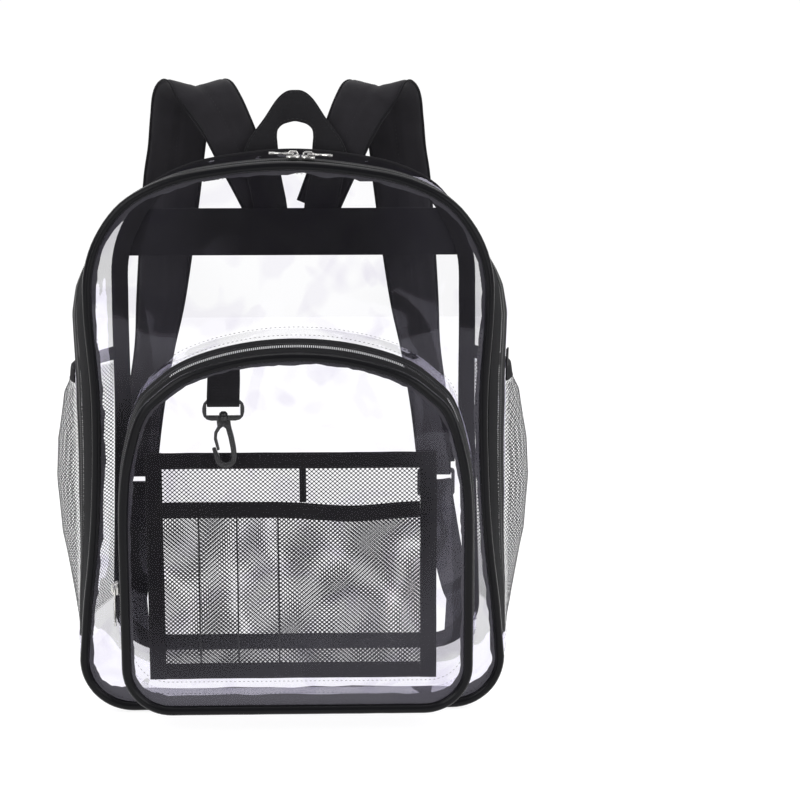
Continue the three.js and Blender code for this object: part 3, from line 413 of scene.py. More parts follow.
MAIN_DEPTHS = zip_depths(FRONT, MAIN_ZIP)
POCKET_DEPTHS = zip_depths(POCKET_FRONT, POCKET_ZIP)
MAIN_END = index_at(front_seam, MAIN_ZIP["end"])
POCKET_END = index_at(pocket_seam, POCKET_ZIP["end"])
BACK_INSIDE = BACK - CLEAR_WALL - CLEARANCE - CLOTH_WALL
WALL_STOP = BACK_INSIDE - CLEARANCE
SIDE_FRONT = MAIN_DEPTHS[3] + CLEARANCE
YOKE_FACE = BACK + CLEARANCE + CLOTH_WALL
HANDLE_DEPTH = YOKE_FACE + CLEARANCE + WEBBING_WALL / 2


def side_wall(index, depth, lift=0.0):
    """Where the side pockets' nets lie outside the bag's sides."""
    index, depth, lift = np.broadcast_arrays(*(np.asarray(v, float) for v in (index, depth, lift)))
    z = along(front_seam, index)[..., 1]
    up = np.clip((z - SIDE_BOTTOM) / (SIDE_TOP - SIDE_BOTTOM), 0, 1)
    sweep = np.sin(math.pi * np.clip((depth - SIDE_FRONT) / (WALL_STOP - SIDE_FRONT), 0, 1))
    return body_wall(index, depth, lift + CLEARANCE + SIDE_BULGE * table(SIDE_ROWS, up) * sweep)


def ripple(points, size, seed):
    """Smooth seeded noise at points in millimetres, about -1 to 1, with bumps of a size."""
    shift = Vector((seed * 17.3, seed * 5.1, seed * 9.7))
    flat = np.asarray(points, float).reshape(-1, 3)
    values = [noise.noise(Vector(p) / size + shift) for p in flat]
    return np.array(values).reshape(np.shape(points)[:-1])


# Building meshes


def make(name, points, faces, material, nodes=(), body="bag", smooth=True, crease=38):
    """Mesh from points in the bag's frame that rides on a body and stands for CAD nodes."""
    points = (np.asarray(points, float).reshape(-1, 3) + (0, OFFSET_Y, 0)) / 1000
    mesh = bpy.data.meshes.new(name)
    mesh.from_pydata(points.tolist(), [], [list(map(int, face)) for face in faces])
    mesh.validate()
    if smooth:
        mesh.polygons.foreach_set("use_smooth", [True] * len(mesh.polygons))
        mesh.set_sharp_from_angle(angle=math.radians(crease))
    mesh.materials.append(material)
    piece = bpy.data.objects.new(name, mesh)
    bpy.context.scene.collection.objects.link(piece)
    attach(piece, body)
    if nodes:
        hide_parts(*nodes)
    return piece


def grid_faces(rows, columns, joined=False, round_it=False):
    """Quads of a grid of points; joined links the last row to the first, round_it the columns."""
    r = np.arange(rows if joined else rows - 1)[:, None]
    c = np.arange(columns if round_it else columns - 1)[None, :]
    after = (r + 1) % rows
    beside = (c + 1) % columns
    corners = (r * columns + c, r * columns + beside, after * columns + beside, after * columns + c)
    return np.stack([np.broadcast_to(k, (r.size, c.size)) for k in corners], axis=-1).reshape(-1, 4)


def closed_sheet(outer, inner, flip=False):
    """Points and faces of a closed sheet between two grids of points."""
    rows, columns = outer.shape[:2]
    count = rows * columns
    faces = grid_faces(rows, columns)
    rim = np.concatenate(
        [
            np.arange(columns),
            np.arange(1, rows) * columns + columns - 1,
            (rows - 1) * columns + np.arange(columns - 2, -1, -1),
            np.arange(rows - 2, 0, -1) * columns,
        ]
    )
    following = np.roll(rim, -1)
    edge = np.stack([rim, rim + count, following + count, following], axis=1)
    faces = np.vstack([faces, faces[:, ::-1] + count, edge])
    points = np.vstack([outer.reshape(-1, 3), inner.reshape(-1, 3)])
    return points, faces[:, ::-1] if flip else faces


def slab(surface, indices, depths, lift, thickness):
    """Points and faces of a closed sheet on a wall, from its lift inwards."""
    index, depth = np.meshgrid(indices, depths, indexing="ij")
    return closed_sheet(surface(index, depth, lift), surface(index, depth, lift - thickness))


def loft(rings, joined=False):
    """Points and faces of a body through rings of points, capped unless its ends are joined."""
    rings = np.asarray(rings, float)
    count, sides = rings.shape[:2]
    faces = [list(face) for face in grid_faces(count, sides, joined, True)]
    if not joined:
        faces.append(list(range(sides))[::-1])
        faces.append(list(range((count - 1) * sides, count * sides)))
    return rings.reshape(-1, 3), faces


def rounded(half_width, half_height, radius, turns=3):
    """Closed rounded rectangle of (across, up) points."""
    angles = np.radians(np.linspace(0, 90, turns + 1))
    points = []
    for quarter, (sx, sy) in enumerate(((1, 1), (-1, 1), (-1, -1), (1, -1))):
        for angle in angles + math.radians(90 * quarter):
            x = sx * (half_width - radius) + radius * math.cos(angle)
            y = sy * (half_height - radius) + radius * math.sin(angle)
            points.append((x, y))
    return np.array(points)


def frames(path, across):
    """Unit vectors across a path and through its thickness, square to the way it runs."""
    forward = unit(np.gradient(path, axis=0))
    across = np.broadcast_to(np.asarray(across, float), path.shape)
    across = unit(across - (across * forward).sum(1, keepdims=True) * forward)
    return across, np.cross(forward, across)


def band(path, across, width, thickness, softness=0.45):
    """Rings of a flat band along a path; width and thickness are one value or one for each station."""
    wide, thick = frames(path, across)
    width = np.broadcast_to(np.asarray(width, float), len(path))
    thickness = np.broadcast_to(np.asarray(thickness, float), len(path))
    rings = []
    for centre, u, v, w, t in zip(path, wide, thick, width, thickness):
        section = rounded(w / 2, t / 2, t * softness, 2)
        rings.append(centre + section[:, :1] * u + section[:, 1:] * v)
    return np.array(rings)


def joined(parts):
    """Points and faces of several bodies as one."""
    points, faces, count = [], [], 0
    for some, theirs in parts:
        points.append(np.asarray(some).reshape(-1, 3))
        faces += [[k + count for k in face] for face in theirs]
        count += len(points[-1])
    return np.vstack(points), faces


def stitched(paths, normal, pitch=STITCH_PITCH):
    """Thread stitches along paths of points, as small spindles that lie on the cloth."""
    parts = []
    for path in paths:
        path = np.asarray(path, float)
        length = np.linalg.norm(np.diff(path, axis=0), axis=1).sum()
        count = max(int(length / pitch), 2)
        points = resample(path, count)
        for a, b in zip(points[:-1], points[1:]):
            run = unit(b - a)
            out = np.asarray(normal(mix(a, b, 0.5)) if callable(normal) else normal, float)
            side = np.cross(run, out)
            middle = mix(a, b, 0.5)
            reach = run * STITCH_LENGTH / 2
            waist = [
                middle + STITCH_RADIUS * (side * math.cos(t) + out * math.sin(t))
                for t in (0, math.pi / 2, math.pi, 3 * math.pi / 2)
            ]
            spindle = [[0, 1, 2], [0, 2, 3], [0, 3, 4], [0, 4, 1], [5, 2, 1], [5, 3, 2], [5, 4, 3], [5, 1, 4]]
            parts.append((np.array([middle - reach, *waist, middle + reach]), spindle))
    return joined(parts)


# Materials


def new_material(name):
    material = bpy.data.materials.new(name)
    material.use_nodes = True
    nodes = material.node_tree.nodes
    nodes.clear()
    return material, nodes, material.node_tree.links


def shader_to_output(material, nodes, links, socket):
    output = nodes.new("ShaderNodeOutputMaterial")
    links.new(socket, output.inputs["Surface"])
    return material


def object_space(nodes, links, scale):
    """Coordinates in the row frame, times a scale."""
    coordinates = nodes.new("ShaderNodeTexCoord")
    mapping = nodes.new("ShaderNodeMapping")
    mapping.inputs["Scale"].default_value = (scale, scale, scale)
    links.new(coordinates.outputs["Object"], mapping.inputs["Vector"])
    return mapping.outputs["Vector"]


def noise_bump(nodes, links, scale, strength, distance, detail=3.0):
    """Normal of a surface with fine noise of a scale in bumps per metre."""
    texture = nodes.new("ShaderNodeTexNoise")
    texture.inputs["Scale"].default_value = scale
    texture.inputs["Detail"].default_value = detail
    links.new(object_space(nodes, links, 1.0), texture.inputs["Vector"])
    bump = nodes.new("ShaderNodeBump")
    bump.inputs["Strength"].default_value = strength
    bump.inputs["Distance"].default_value = distance
    links.new(texture.outputs["Fac"], bump.inputs["Height"])
    return bump.outputs["Normal"]


def calm_share(nodes, links, shine):
    """The shine of a clear sheet, weaker round spots chosen from the photograph."""
    coordinates = nodes.new("ShaderNodeTexCoord")
    front = nodes.new("ShaderNodeVectorMath")
    front.operation = "MULTIPLY"
    front.inputs[1].default_value = (1, 0, 1)
    links.new(coordinates.outputs["Object"], front.inputs[0])
    for x, z, reach in CALM_SPOTS:
        away = nodes.new("ShaderNodeVectorMath")
        away.operation = "DISTANCE"
        away.inputs[1].default_value = (x, 0, z)
        links.new(front.outputs["Vector"], away.inputs[0])
        ramp = nodes.new("ShaderNodeMapRange")
        ramp.interpolation_type = "SMOOTHSTEP"
        ramp.inputs["From Min"].default_value = reach * 0.45
        ramp.inputs["From Max"].default_value = reach
        ramp.inputs["To Min"].default_value = CALM_LEAST
        ramp.inputs["To Max"].default_value = 1
        links.new(away.outputs["Value"], ramp.inputs["Value"])
        product = nodes.new("ShaderNodeMath")
        product.operation = "MULTIPLY"
        links.new(shine, product.inputs[0])
        links.new(ramp.outputs["Result"], product.inputs[1])
        shine = product.outputs["Value"]
    return shine


def clear_vinyl(name, tint, gloss, waviness):
    """Thin clear sheet: it lets light straight through and reflects at its faces."""
    material, nodes, links = new_material(name)
    through = nodes.new("ShaderNodeBsdfTransparent")
    # Painted reflection veil: random patches of what the sheet lets through turn a pale lilac grey.
    patches = nodes.new("ShaderNodeTexNoise")
    patches.inputs["Scale"].default_value = 12
    patches.inputs["Detail"].default_value = 1.0
    patches.inputs["Distortion"].default_value = 2.4
    links.new(object_space(nodes, links, 1.0), patches.inputs["Vector"])
    ramp = nodes.new("ShaderNodeValToRGB")
    ramp.color_ramp.elements[0].position = 0.56
    ramp.color_ramp.elements[0].color = (*tint, 1)
    ramp.color_ramp.elements[1].position = 0.64
    ramp.color_ramp.elements[1].color = (*PAINTED_VEIL_TINT, 1)
    links.new(patches.outputs["Fac"], ramp.inputs["Fac"])
    links.new(ramp.outputs["Color"], through.inputs["Color"])
    shine = nodes.new("ShaderNodeBsdfGlossy")
    shine.inputs["Color"].default_value = (0.88, 0.85, 1.0, 1)
    shine.inputs["Roughness"].default_value = gloss
    normal = noise_bump(nodes, links, 11.0, waviness, 0.004, 1.5)
    links.new(normal, shine.inputs["Normal"])
    fresnel = nodes.new("ShaderNodeFresnel")
    fresnel.inputs["IOR"].default_value = 1.45
    capped = nodes.new("ShaderNodeMath")
    capped.operation = "MINIMUM"
    capped.inputs[1].default_value = 0.35
    links.new(fresnel.outputs["Fac"], capped.inputs[0])
    share = calm_share(nodes, links, capped.outputs["Value"])
    blend = nodes.new("ShaderNodeMixShader")
    links.new(share, blend.inputs["Fac"])
    links.new(through.outputs["BSDF"], blend.inputs[1])
    links.new(shine.outputs["BSDF"], blend.inputs[2])
    return shader_to_output(material, nodes, links, blend.outputs["Shader"])


def woven(name, colour, weave, depth, sheen):
    """Cloth with a plain weave: crossing threads of a count per metre, as bump and slight tone."""
    material, nodes, links = new_material(name)
    place = object_space(nodes, links, 1.0)
    waves = []
    for direction in ("X", "Z"):
        wave = nodes.new("ShaderNodeTexWave")
        wave.wave_type = "BANDS"
        wave.bands_direction = direction
        wave.inputs["Scale"].default_value = weave
        wave.inputs["Distortion"].default_value = 1.2
        wave.inputs["Detail"].default_value = 1.0
        wave.inputs["Detail Scale"].default_value = 3.0
        links.new(place, wave.inputs["Vector"])
        waves.append(wave.outputs["Fac"])
    threads = nodes.new("ShaderNodeMath")
    threads.operation = "MULTIPLY"
    links.new(waves[0], threads.inputs[0])
    links.new(waves[1], threads.inputs[1])
    patchy = nodes.new("ShaderNodeTexNoise")
    patchy.inputs["Scale"].default_value = 60
    patchy.inputs["Detail"].default_value = 5
    links.new(place, patchy.inputs["Vector"])
    height = nodes.new("ShaderNodeMath")
    height.operation = "ADD"
    links.new(threads.outputs["Value"], height.inputs[0])
    links.new(patchy.outputs["Fac"], height.inputs[1])
    bump = nodes.new("ShaderNodeBump")
    bump.inputs["Strength"].default_value = depth
    bump.inputs["Distance"].default_value = 0.0006
    links.new(height.outputs["Value"], bump.inputs["Height"])
    tone = nodes.new("ShaderNodeMix")
    tone.data_type = "RGBA"
    tone.inputs["A"].default_value = (*[c * 0.75 for c in colour], 1)
    tone.inputs["B"].default_value = (*[c * 1.35 for c in colour], 1)
    links.new(patchy.outputs["Fac"], tone.inputs["Factor"])
    surface = nodes.new("ShaderNodeBsdfPrincipled")
    surface.inputs["Roughness"].default_value = 0.9
    surface.inputs["Sheen Weight"].default_value = sheen
    surface.inputs["Sheen Roughness"].default_value = 0.5
    surface.inputs["Specular IOR Level"].default_value = 0.2
    links.new(tone.outputs["Result"], surface.inputs["Base Color"])
    links.new(bump.outputs["Normal"], surface.inputs["Normal"])
    return shader_to_output(material, nodes, links, surface.outputs["BSDF"])


def plain(name, colour, roughness, metallic=0.0, bump=0.1, bump_scale=400, shine=0.5):
    """Plastic, coated vinyl or metal with a faint uneven surface."""
    material, nodes, links = new_material(name)
    surface = nodes.new("ShaderNodeBsdfPrincipled")
    surface.inputs["Base Color"].default_value = (*colour, 1)
    surface.inputs["Roughness"].default_value = roughness
    surface.inputs["Metallic"].default_value = metallic
    surface.inputs["Specular IOR Level"].default_value = shine
    normal = noise_bump(nodes, links, bump_scale, bump, 0.0006)
    links.new(normal, surface.inputs["Normal"])
    return shader_to_output(material, nodes, links, surface.outputs["BSDF"])


VINYL = clear_vinyl("clear vinyl", (0.985, 0.985, 0.99), 0.04, 0.5)
THIN_VINYL = clear_vinyl("thin clear vinyl", (0.99, 0.99, 0.993), 0.03, 0.4)
BLACK_VINYL = plain("black vinyl piping", (0.005, 0.005, 0.006), 0.24, bump=0.25, bump_scale=260, shine=0.14)
BLACK_CLOTH = woven("black binding cloth", (0.0075, 0.007, 0.0085), 420, 0.175, 0.05)
STRAP_CLOTH = woven("padded strap cloth", (0.0135, 0.0125, 0.015), 520, 0.25, 0.12)
WEBBING_CLOTH = woven("webbing", (0.008, 0.0076, 0.009), 300, 0.35, 0.08)
ZIP_CLOTH = woven("zip tape", (0.006, 0.006, 0.007), 380, 0.25, 0.04)
COIL_PLASTIC = plain("zip teeth", (0.008, 0.008, 0.009), 0.38)
NET_CLOTH = plain("net thread", (0.02, 0.02, 0.023), 0.7, bump=0.3, shine=0.2)
THREAD = plain("sewing thread", (0.012, 0.012, 0.014), 0.7)
FLANGE_CLOTH = plain("seam edge", (0.05, 0.048, 0.056), 0.75, bump=0.5, shine=0.2)
BLACK_PLASTIC = plain("black plastic", (0.01, 0.01, 0.011), 0.36, bump=0.05)
BRIGHT_METAL = plain("bright metal", (0.72, 0.71, 0.69), 0.22, metallic=1.0, bump=0.08, bump_scale=900)


# Clear sheets


def clear_panel(name, loop, inset, depth, material, node, swell, wrinkle, seed):
    """Clear sheet across a seam, with a slight swell and long soft wrinkles."""
    outline = loop[:, :2] - loop[:, 2:] * inset
    centre = (outline.max(0) + outline.min(0)) / 2
    shares = np.linspace(0, 1, 30)[1:] ** 0.8
    rings = centre + shares[:, None, None] * (outline - centre)
    flat = np.vstack([centre[None], rings.reshape(-1, 2)])
    points = at_depth(flat[:, 0], flat[:, 1], depth)
    reach = np.concatenate([[0], np.repeat(shares, len(outline))])
    calm = 1 - reach**4
    long_folds = ripple(points * (0.35, 1, 1), 60, seed)
    fine_folds = ripple(points * (1, 1, 0.5), 24, seed + 1)
    points[:, 1] += calm * (swell + wrinkle * (long_folds + 0.35 * fine_folds))
    count = len(outline)
    faces = [list(face) for face in grid_faces(len(shares), count, False, True) + 1]
    faces += [[0, 1 + (k + 1) % count, 1 + k] for k in range(count)]
    return make(name, points, faces, material, [node], crease=180)


def clear_wall(name, surface, indices, depths, material, node, wrinkle, seed):
    """Clear sheet on a wall of the bag, with buckles that die out at its seams."""
    index, depth = np.meshgrid(indices, depths, indexing="ij")
    base = surface(index, depth)
    share = np.linspace(0, 1, len(depths))[None, :]
    calm = np.sin(math.pi * share) ** 0.7
    lift = wrinkle * calm * (ripple(base * (1, 0.5, 1), 34, seed) + 0.4 * ripple(base, 13, seed + 1))
    points = surface(index, depth, lift - CLEAR_WALL / 2)
    return make(name, points, grid_faces(*index.shape), material, [node], crease=180)


def clear_sheets():
    rim = np.linspace(MAIN_END, INDEX_TURN - MAIN_END, 260)
    floor = np.linspace(-MAIN_END, MAIN_END, 90)
    clear_panel(
        "front_sheet", front_seam, PIPING / 2, FRONT, VINYL,
        "front_panel", -1.6, 1.0, 1,
    )
    clear_panel("back_sheet", back_seam, 0, BACK - 0.5, VINYL, "back_panel", -0.6, 1.6, 4)
    depths = np.linspace(SIDE_FRONT, WALL_STOP, 26)
    clear_wall("side_sheet", body_wall, rim, depths, VINYL, "side_gusset", 2.2, 7)
    depths = np.linspace(MAIN_DEPTHS[0], WALL_STOP, 24)
    clear_wall("floor_sheet", body_wall, floor, depths, VINYL, "bottom_gusset", 0.7, 11)
    clear_panel(
        "pocket_sheet", pocket_seam, PIPING / 2, POCKET_FRONT, THIN_VINYL,
        "pocket_front", -4.2, 1.2, 14,
    )
    rim = np.linspace(POCKET_END, INDEX_TURN - POCKET_END, 200)
    depths = np.linspace(POCKET_DEPTHS[3] + CLEARANCE, POCKET_SEAT, 12)
    clear_wall(
        "pocket_side_sheet", pocket_wall, rim, depths, THIN_VINYL,
        "pocket_gusset", 0.9, 17,
    )
    floor = np.linspace(-POCKET_END, POCKET_END, 90)
    depths = np.linspace(POCKET_DEPTHS[0], POCKET_SEAT, 14)
    clear_wall(
        "pocket_floor_sheet", pocket_wall, floor, depths, THIN_VINYL,
        "pocket_bottom", 0.6, 21,
    )


# Piping, bindings and zips


def piping(name, loop, depth, node, seed):
    """Piping along a seam, a little uneven where the needle has pulled it."""
    angles = np.radians(np.arange(0, 360, 30))
    centre = at_depth(loop[:, 0], loop[:, 1], depth)
    radius = PIPING / 2 * (1 + 0.03 * ripple(centre, 9, seed))
    out = np.column_stack([loop[:, 2], np.zeros(len(loop)), loop[:, 3]])
    back = np.array([0.0, 1.0, 0.0])
    rings = [
        c + r * (np.outer(np.cos(angles), o) + np.outer(np.sin(angles), back))
        for c, o, r in zip(centre, out, radius)
    ]
    points, faces = loft(rings, joined=True)
    make(name, points, faces, BLACK_VINYL, [node], crease=180)


def seam_edge(name, loop, depth, width, seed):
    """Cut edge of the seam allowance that shows through the clear sheet inside the piping."""
    start = PIPING / 2 - 0.6
    centre = at_depth(loop[:, 0], loop[:, 1], depth)
    low = np.maximum(-loop[:, 3], 0) ** 2
    frayed = 0.3 * ripple(centre, 16, seed) + 0.18 * ripple(centre, 4, seed + 1)
    ragged = width * (0.55 + 1.3 * low + frayed)
    insets = np.stack([np.full(len(loop), start), start + ragged * 0.5, start + ragged], axis=1)
    x = loop[:, :1] - loop[:, 2:3] * insets
    z = loop[:, 1:2] - loop[:, 3:4] * insets
    points = np.stack([x, np.full(x.shape, float(depth)), z], axis=-1)
    make(name, points, grid_faces(len(loop), 3, True), FLANGE_CLOTH, crease=180)


def back_binding():
    """Binding round the back seam: a flange inside the back sheet and a bead round its edge."""
    flange_back = BACK_INSIDE + CLOTH_WALL
    bead_back = BACK + CLEARANCE + CLOTH_WALL
    profile = [
        # out, depth
        (-BACK_BINDING, BACK_INSIDE + 0.3),
        (-BACK_BINDING + 0.4, BACK_INSIDE),
        (PIPING / 2 - 1, BACK_INSIDE),
        (PIPING / 2, BACK_INSIDE + 1),
        (PIPING / 2, bead_back - 1),
        (PIPING / 2 - 1, bead_back),
        (CLEARANCE, bead_back),
        (CLEARANCE, flange_back),
        (-BACK_BINDING + 0.4, flange_back),
        (-BACK_BINDING, flange_back - 0.3),
    ]
    out = np.column_stack([back_seam[:, 2], np.zeros(len(back_seam)), back_seam[:, 3]])
    centre = np.column_stack([back_seam[:, 0], np.zeros(len(back_seam)), back_seam[:, 1]])
    rings = [[c + o * move + (0, depth, 0) for move, depth in profile] for c, o in zip(centre, out)]
    points, faces = loft(rings, joined=True)
    make("back_seam_binding", points, faces, BLACK_CLOTH, ["back_binding"])


def seam_stitches(name, loop, depth, insets):
    """Rows of stitches that follow a seam on the clear sheet."""
    closed = np.vstack([loop, loop[:1]])
    rows = []
    for inset in insets:
        line = closed[:, :2] - closed[:, 2:] * inset
        rows.append(at_depth(line[:, 0], line[:, 1], depth))
    points, faces = stitched(rows, (0, -1, 0))
    make(name, points, faces, THREAD)


def zip_tapes(name, surface, depths, sizes, end):
    """The two cloth tapes of a zip."""
    line = np.linspace(end, INDEX_TURN - end, 260)
    for side, start in (("front", depths[0]), ("back", depths[2])):
        across = np.linspace(start, start + sizes["tape"], 4)
        points, faces = slab(surface, line, across, 0, CLOTH_WALL)
        node = f"{name}_tape_{side}"
        make(f"{node}_cloth", points, faces, ZIP_CLOTH, [node])


def zip_teeth(name, surface, depths, sizes, end):
    """Coil teeth: one rounded bar across the gap between the tapes for each turn of the coil."""
    indices = np.linspace(end, INDEX_TURN - end, 900)
    middle = depths[1] + sizes["coil"] / 2
    lengths = run_lengths(surface(indices, middle))
    count = int(lengths[-1] / TOOTH_PITCH)
    at = np.interp(np.linspace(0, lengths[-1], count + 1), lengths, indices)
    index = (at[:-1] + at[1:]) / 2
    half = (at[1:] - at[:-1]) * 0.36
    sections = [
        # share of the coil's width, lift of the bar's middle, its half height
        (-0.5, -0.2, 0.25),
        (-0.4, 0.35, 0.55),
        (-0.06, 0.55, 0.6),
        (0.06, 0.55, 0.6),
        (0.4, 0.35, 0.55),
        (0.5, -0.2, 0.25),
    ]
    bar = [(-1, 0), (-0.5, 1), (0.5, 1), (1, 0), (0.5, -1), (-0.5, -1)]
    rings = []
    for share, lift, high in sections:
        ring = [
            surface(index + u * half, np.full(count, middle + share * sizes["coil"]), lift + v * high)
            for u, v in bar
        ]
        rings.append(np.stack(ring, axis=1))
    points = np.stack(rings, axis=1)
    faces = [list(face) for face in grid_faces(len(sections), len(bar), False, True)]
    faces.append([0, 5, 4, 3, 2, 1])
    faces.append([30, 31, 32, 33, 34, 35])
    block = len(sections) * len(bar)
    every = [[k + block * tooth for k in face] for tooth in range(count) for face in faces]
    make(f"{name}_teeth", points, every, COIL_PLASTIC, [f"{name}_coil"], crease=50)


def zip_ends(name, surface, loop, depths, end_height, seed):
    """Clear tabs folded over the lower ends of a zip, with their stitches."""
    top = index_at(loop, end_height)
    low = index_at(loop, end_height - END_TAB)
    for side in ("right", "left"):
        indices = np.linspace(low, top, 8)
        if side == "left":
            indices = INDEX_TURN - indices[::-1]
        across = np.linspace(depths[0], depths[3], 10)
        points, faces = slab(surface, indices, across, CLEARANCE + CLEAR_WALL, CLEAR_WALL)
        points += 0.25 * ripple(points, 8, seed)[:, None]
        node = f"{name}_end_{side}"
        make(f"{node}_tab", points, faces, THIN_VINYL, [node])
        sewn = np.linspace(depths[0] + 1, depths[3] - 1, 12)
        rows = [surface(np.full(12, indices[k]), sewn, 1.6) for k in (1, 6)]
        points, faces = stitched(rows, lambda p: unit(np.array([p[0], 0.0, 0.0])))
        make(f"{node}_stitches", points, faces, THREAD)


# Net organiser and side nets


def net(name, place, low, high, keep, nodes, tilt=0.0):
    """Knitted net: a lattice of crossing threads with a hole in each cell, mapped by place(u, v, lift)."""
    step = np.array([NET_ACROSS / 2, NET_DOWN / 2])
    first = np.floor(low / step).astype(int)
    last = np.ceil(high / step).astype(int)
    i, j = np.meshgrid(np.arange(first[0], last[0] + 1), np.arange(first[1], last[1] + 1), indexing="ij")
    i, j = i.ravel(), j.ravel()
    holes = (i + j) % 2 == 1
    i, j = i[holes], j[holes]
    spin = np.array([[math.cos(tilt), -math.sin(tilt)], [math.sin(tilt), math.cos(tilt)]])
    around = ((1, 0), (0, 1), (-1, 0), (0, -1))
    corners = np.stack([np.stack([i + di, j + dj], axis=1) for di, dj in around], axis=1)
    inside = keep((corners * step) @ spin.T).all(axis=1)
    corners = corners[inside]
    centre = corners.mean(axis=1, keepdims=True)
    inner = centre + (corners - centre) * NET_OPEN
    before = mix(inner, np.roll(inner, 1, axis=1), NET_CUT)
    after = mix(inner, np.roll(inner, -1, axis=1), NET_CUT)
    ids, which = np.unique(corners.reshape(-1, 2), axis=0, return_inverse=True)
    which = which.reshape(-1, 4)
    knots = (ids * step) @ spin.T
    parity = np.where(ids[:, 0] % 2 == 0, 0.16, -0.16)
    rim = np.stack([before, after], axis=2).reshape(-1, 2)
    rim = (rim * step) @ spin.T
    flat = np.vstack([knots, rim])
    lift = np.concatenate([parity, np.zeros(len(rim))])
    points = place(flat[:, 0], flat[:, 1], lift)
    first = len(knots) + np.arange(len(corners)) * 8
    faces = []
    for k in range(4):
        n = (k + 1) % 4
        out_k, out_n = which[:, k], which[:, n]
        b_k, a_k, b_n = first + 2 * k, first + 2 * k + 1, first + 2 * n
        faces += np.stack([out_k, b_k, a_k], axis=1).tolist()
        faces += np.stack([out_k, a_k, b_n, out_n], axis=1).tolist()
    make(name, points, faces, NET_CLOTH, nodes, smooth=False)


def middle_height(x):
    return ORGANISER_MIDDLE - MIDDLE_DIP * np.exp(-(((x - MIDDLE_DIP_X) / MIDDLE_DIP_SPAN) ** 2))


def flat_band(node, path, width, depth):
    """Flat cloth band along a path in the organiser's plane, with its two rows of stitches."""
    path = np.array([(x, depth, z) for x, z in path], float)
    path = resample(path, max(int(np.linalg.norm(np.diff(path, axis=0), axis=1).sum() / 6), 2))
    across = np.cross(unit(np.gradient(path, axis=0)), (0, 1, 0))
    wavy = path + across * 0.25 * ripple(path, 22, 3)[:, None]
    points, faces = loft(band(wavy, across, width, CLOTH_WALL))
    make(f"{node}_cloth", points, faces, BLACK_CLOTH, [node])
    rows = [wavy + across * side * (width / 2 - 1.4) - (0, CLOTH_WALL / 2 + 0.05, 0) for side in (-1, 1)]
    points, faces = stitched(rows, (0, -1, 0))
    make(f"{node}_stitches", points, faces, THREAD)


def organiser():
    """Two nets inside the front pocket, their bands, the divider and the pen pockets' seams."""
    edge = BINDING / 2
    left, right = ORGANISER_LEFT + edge, ORGANISER_RIGHT - edge
    bottom, top = ORGANISER_BOTTOM + edge, ORGANISER_TOP - edge
    back_depth = POCKET_SEAT - NET_WALL / 2
    front_depth = back_depth - NET_WALL - CLEARANCE
    band_depth = front_depth - NET_WALL / 2 - CLEARANCE - CLOTH_WALL / 2

    def flat(depth, slack=0.0):
        """Place of the net in its plane, pulled unevenly by as much as slack."""

        def place(u, v, lift):
            spot = np.stack([u, np.zeros_like(u), v], axis=1)
            pulled_u = u + slack * ripple(spot, 46, 71)
            pulled_v = v + slack * ripple(spot, 38, 73)
            return np.stack([pulled_u, depth + lift, pulled_v], axis=1)

        return place

    def within(low, high):
        return lambda p: (p[..., 0] > left) & (p[..., 0] < right) & (p[..., 1] > low) & (p[..., 1] < high)

    def below_middle(p):
        return within(bottom, top)(p) & (p[..., 1] < middle_height(p[..., 0]) - edge)

    net(
        "organiser_back_netting", flat(back_depth), (left, bottom), (right, top),
        within(bottom, top), ["organiser_net_back"],
    )
    net(
        "organiser_front_netting", flat(front_depth, NET_SLACK), (left - 9, bottom - 9), (right + 9, top),
        below_middle, ["organiser_net_front"], tilt=math.radians(1.4),
    )
    x = np.linspace(ORGANISER_LEFT + BINDING, ORGANISER_RIGHT - BINDING, 40)
    bands = (
        # node, path of x and z
        ("organiser_left", [(left, ORGANISER_TOP), (left, ORGANISER_BOTTOM)]),
        ("organiser_right", [(right, ORGANISER_TOP), (right, ORGANISER_BOTTOM)]),
        ("organiser_top", [(v, top) for v in x]),
        ("organiser_bottom", [(v, bottom) for v in x]),
        ("organiser_middle", [(v, middle_height(v) - edge) for v in x]),
    )
    for node, path in bands:
        flat_band(node, path, BINDING, band_depth)
    divider_top = ORGANISER_TOP - BINDING - CLEARANCE
    divider_low = float(middle_height(np.array(DIVIDER_X))) + CLEARANCE
    divider_depth = back_depth - NET_WALL / 2 - CLEARANCE - CLOTH_WALL / 2
    divider = [(DIVIDER_X, divider_top), (DIVIDER_X, divider_low)]
    flat_band("organiser_divider", divider, DIVIDER_WIDTH, divider_depth)
    heights = np.linspace(ORGANISER_BOTTOM + BINDING, ORGANISER_MIDDLE - BINDING, 30)
    parts = []
    for x in NET_SEAMS:
        course = at_depth(np.full(len(heights), float(x)), heights, front_depth - 0.6)
        course[:, 0] += 0.3 * ripple(course, 15, 61)
        parts.append(loft(band(course, (1, 0, 0), PEN_SEAM, 0.5)))
    points, faces = joined(parts)
    make("pen_pocket_seams", points, faces, THREAD)


def side_nets():
    low = index_at(front_seam, SIDE_BOTTOM)
    high = index_at(front_seam, SIDE_TOP - SIDE_ELASTIC - CLEARANCE)
    spread = np.linspace(low, high, 200)
    lengths = run_lengths(along(front_seam, spread)[:, :2])
    width = WALL_STOP - SIDE_FRONT

    def keep(p):
        return (p[..., 0] > 0) & (p[..., 0] < width) & (p[..., 1] > 0) & (p[..., 1] < lengths[-1])

    for side in ("right", "left"):

        def place(u, v, lift, side=side):
            index = np.interp(v, lengths, spread)
            if side == "left":
                index = INDEX_TURN - index
            return side_wall(index, SIDE_FRONT + u, NET_WALL / 2 + lift)

        net(f"side_{side}_netting", place, (0, 0), (width, lengths[-1]), keep, [f"side_net_{side}"])


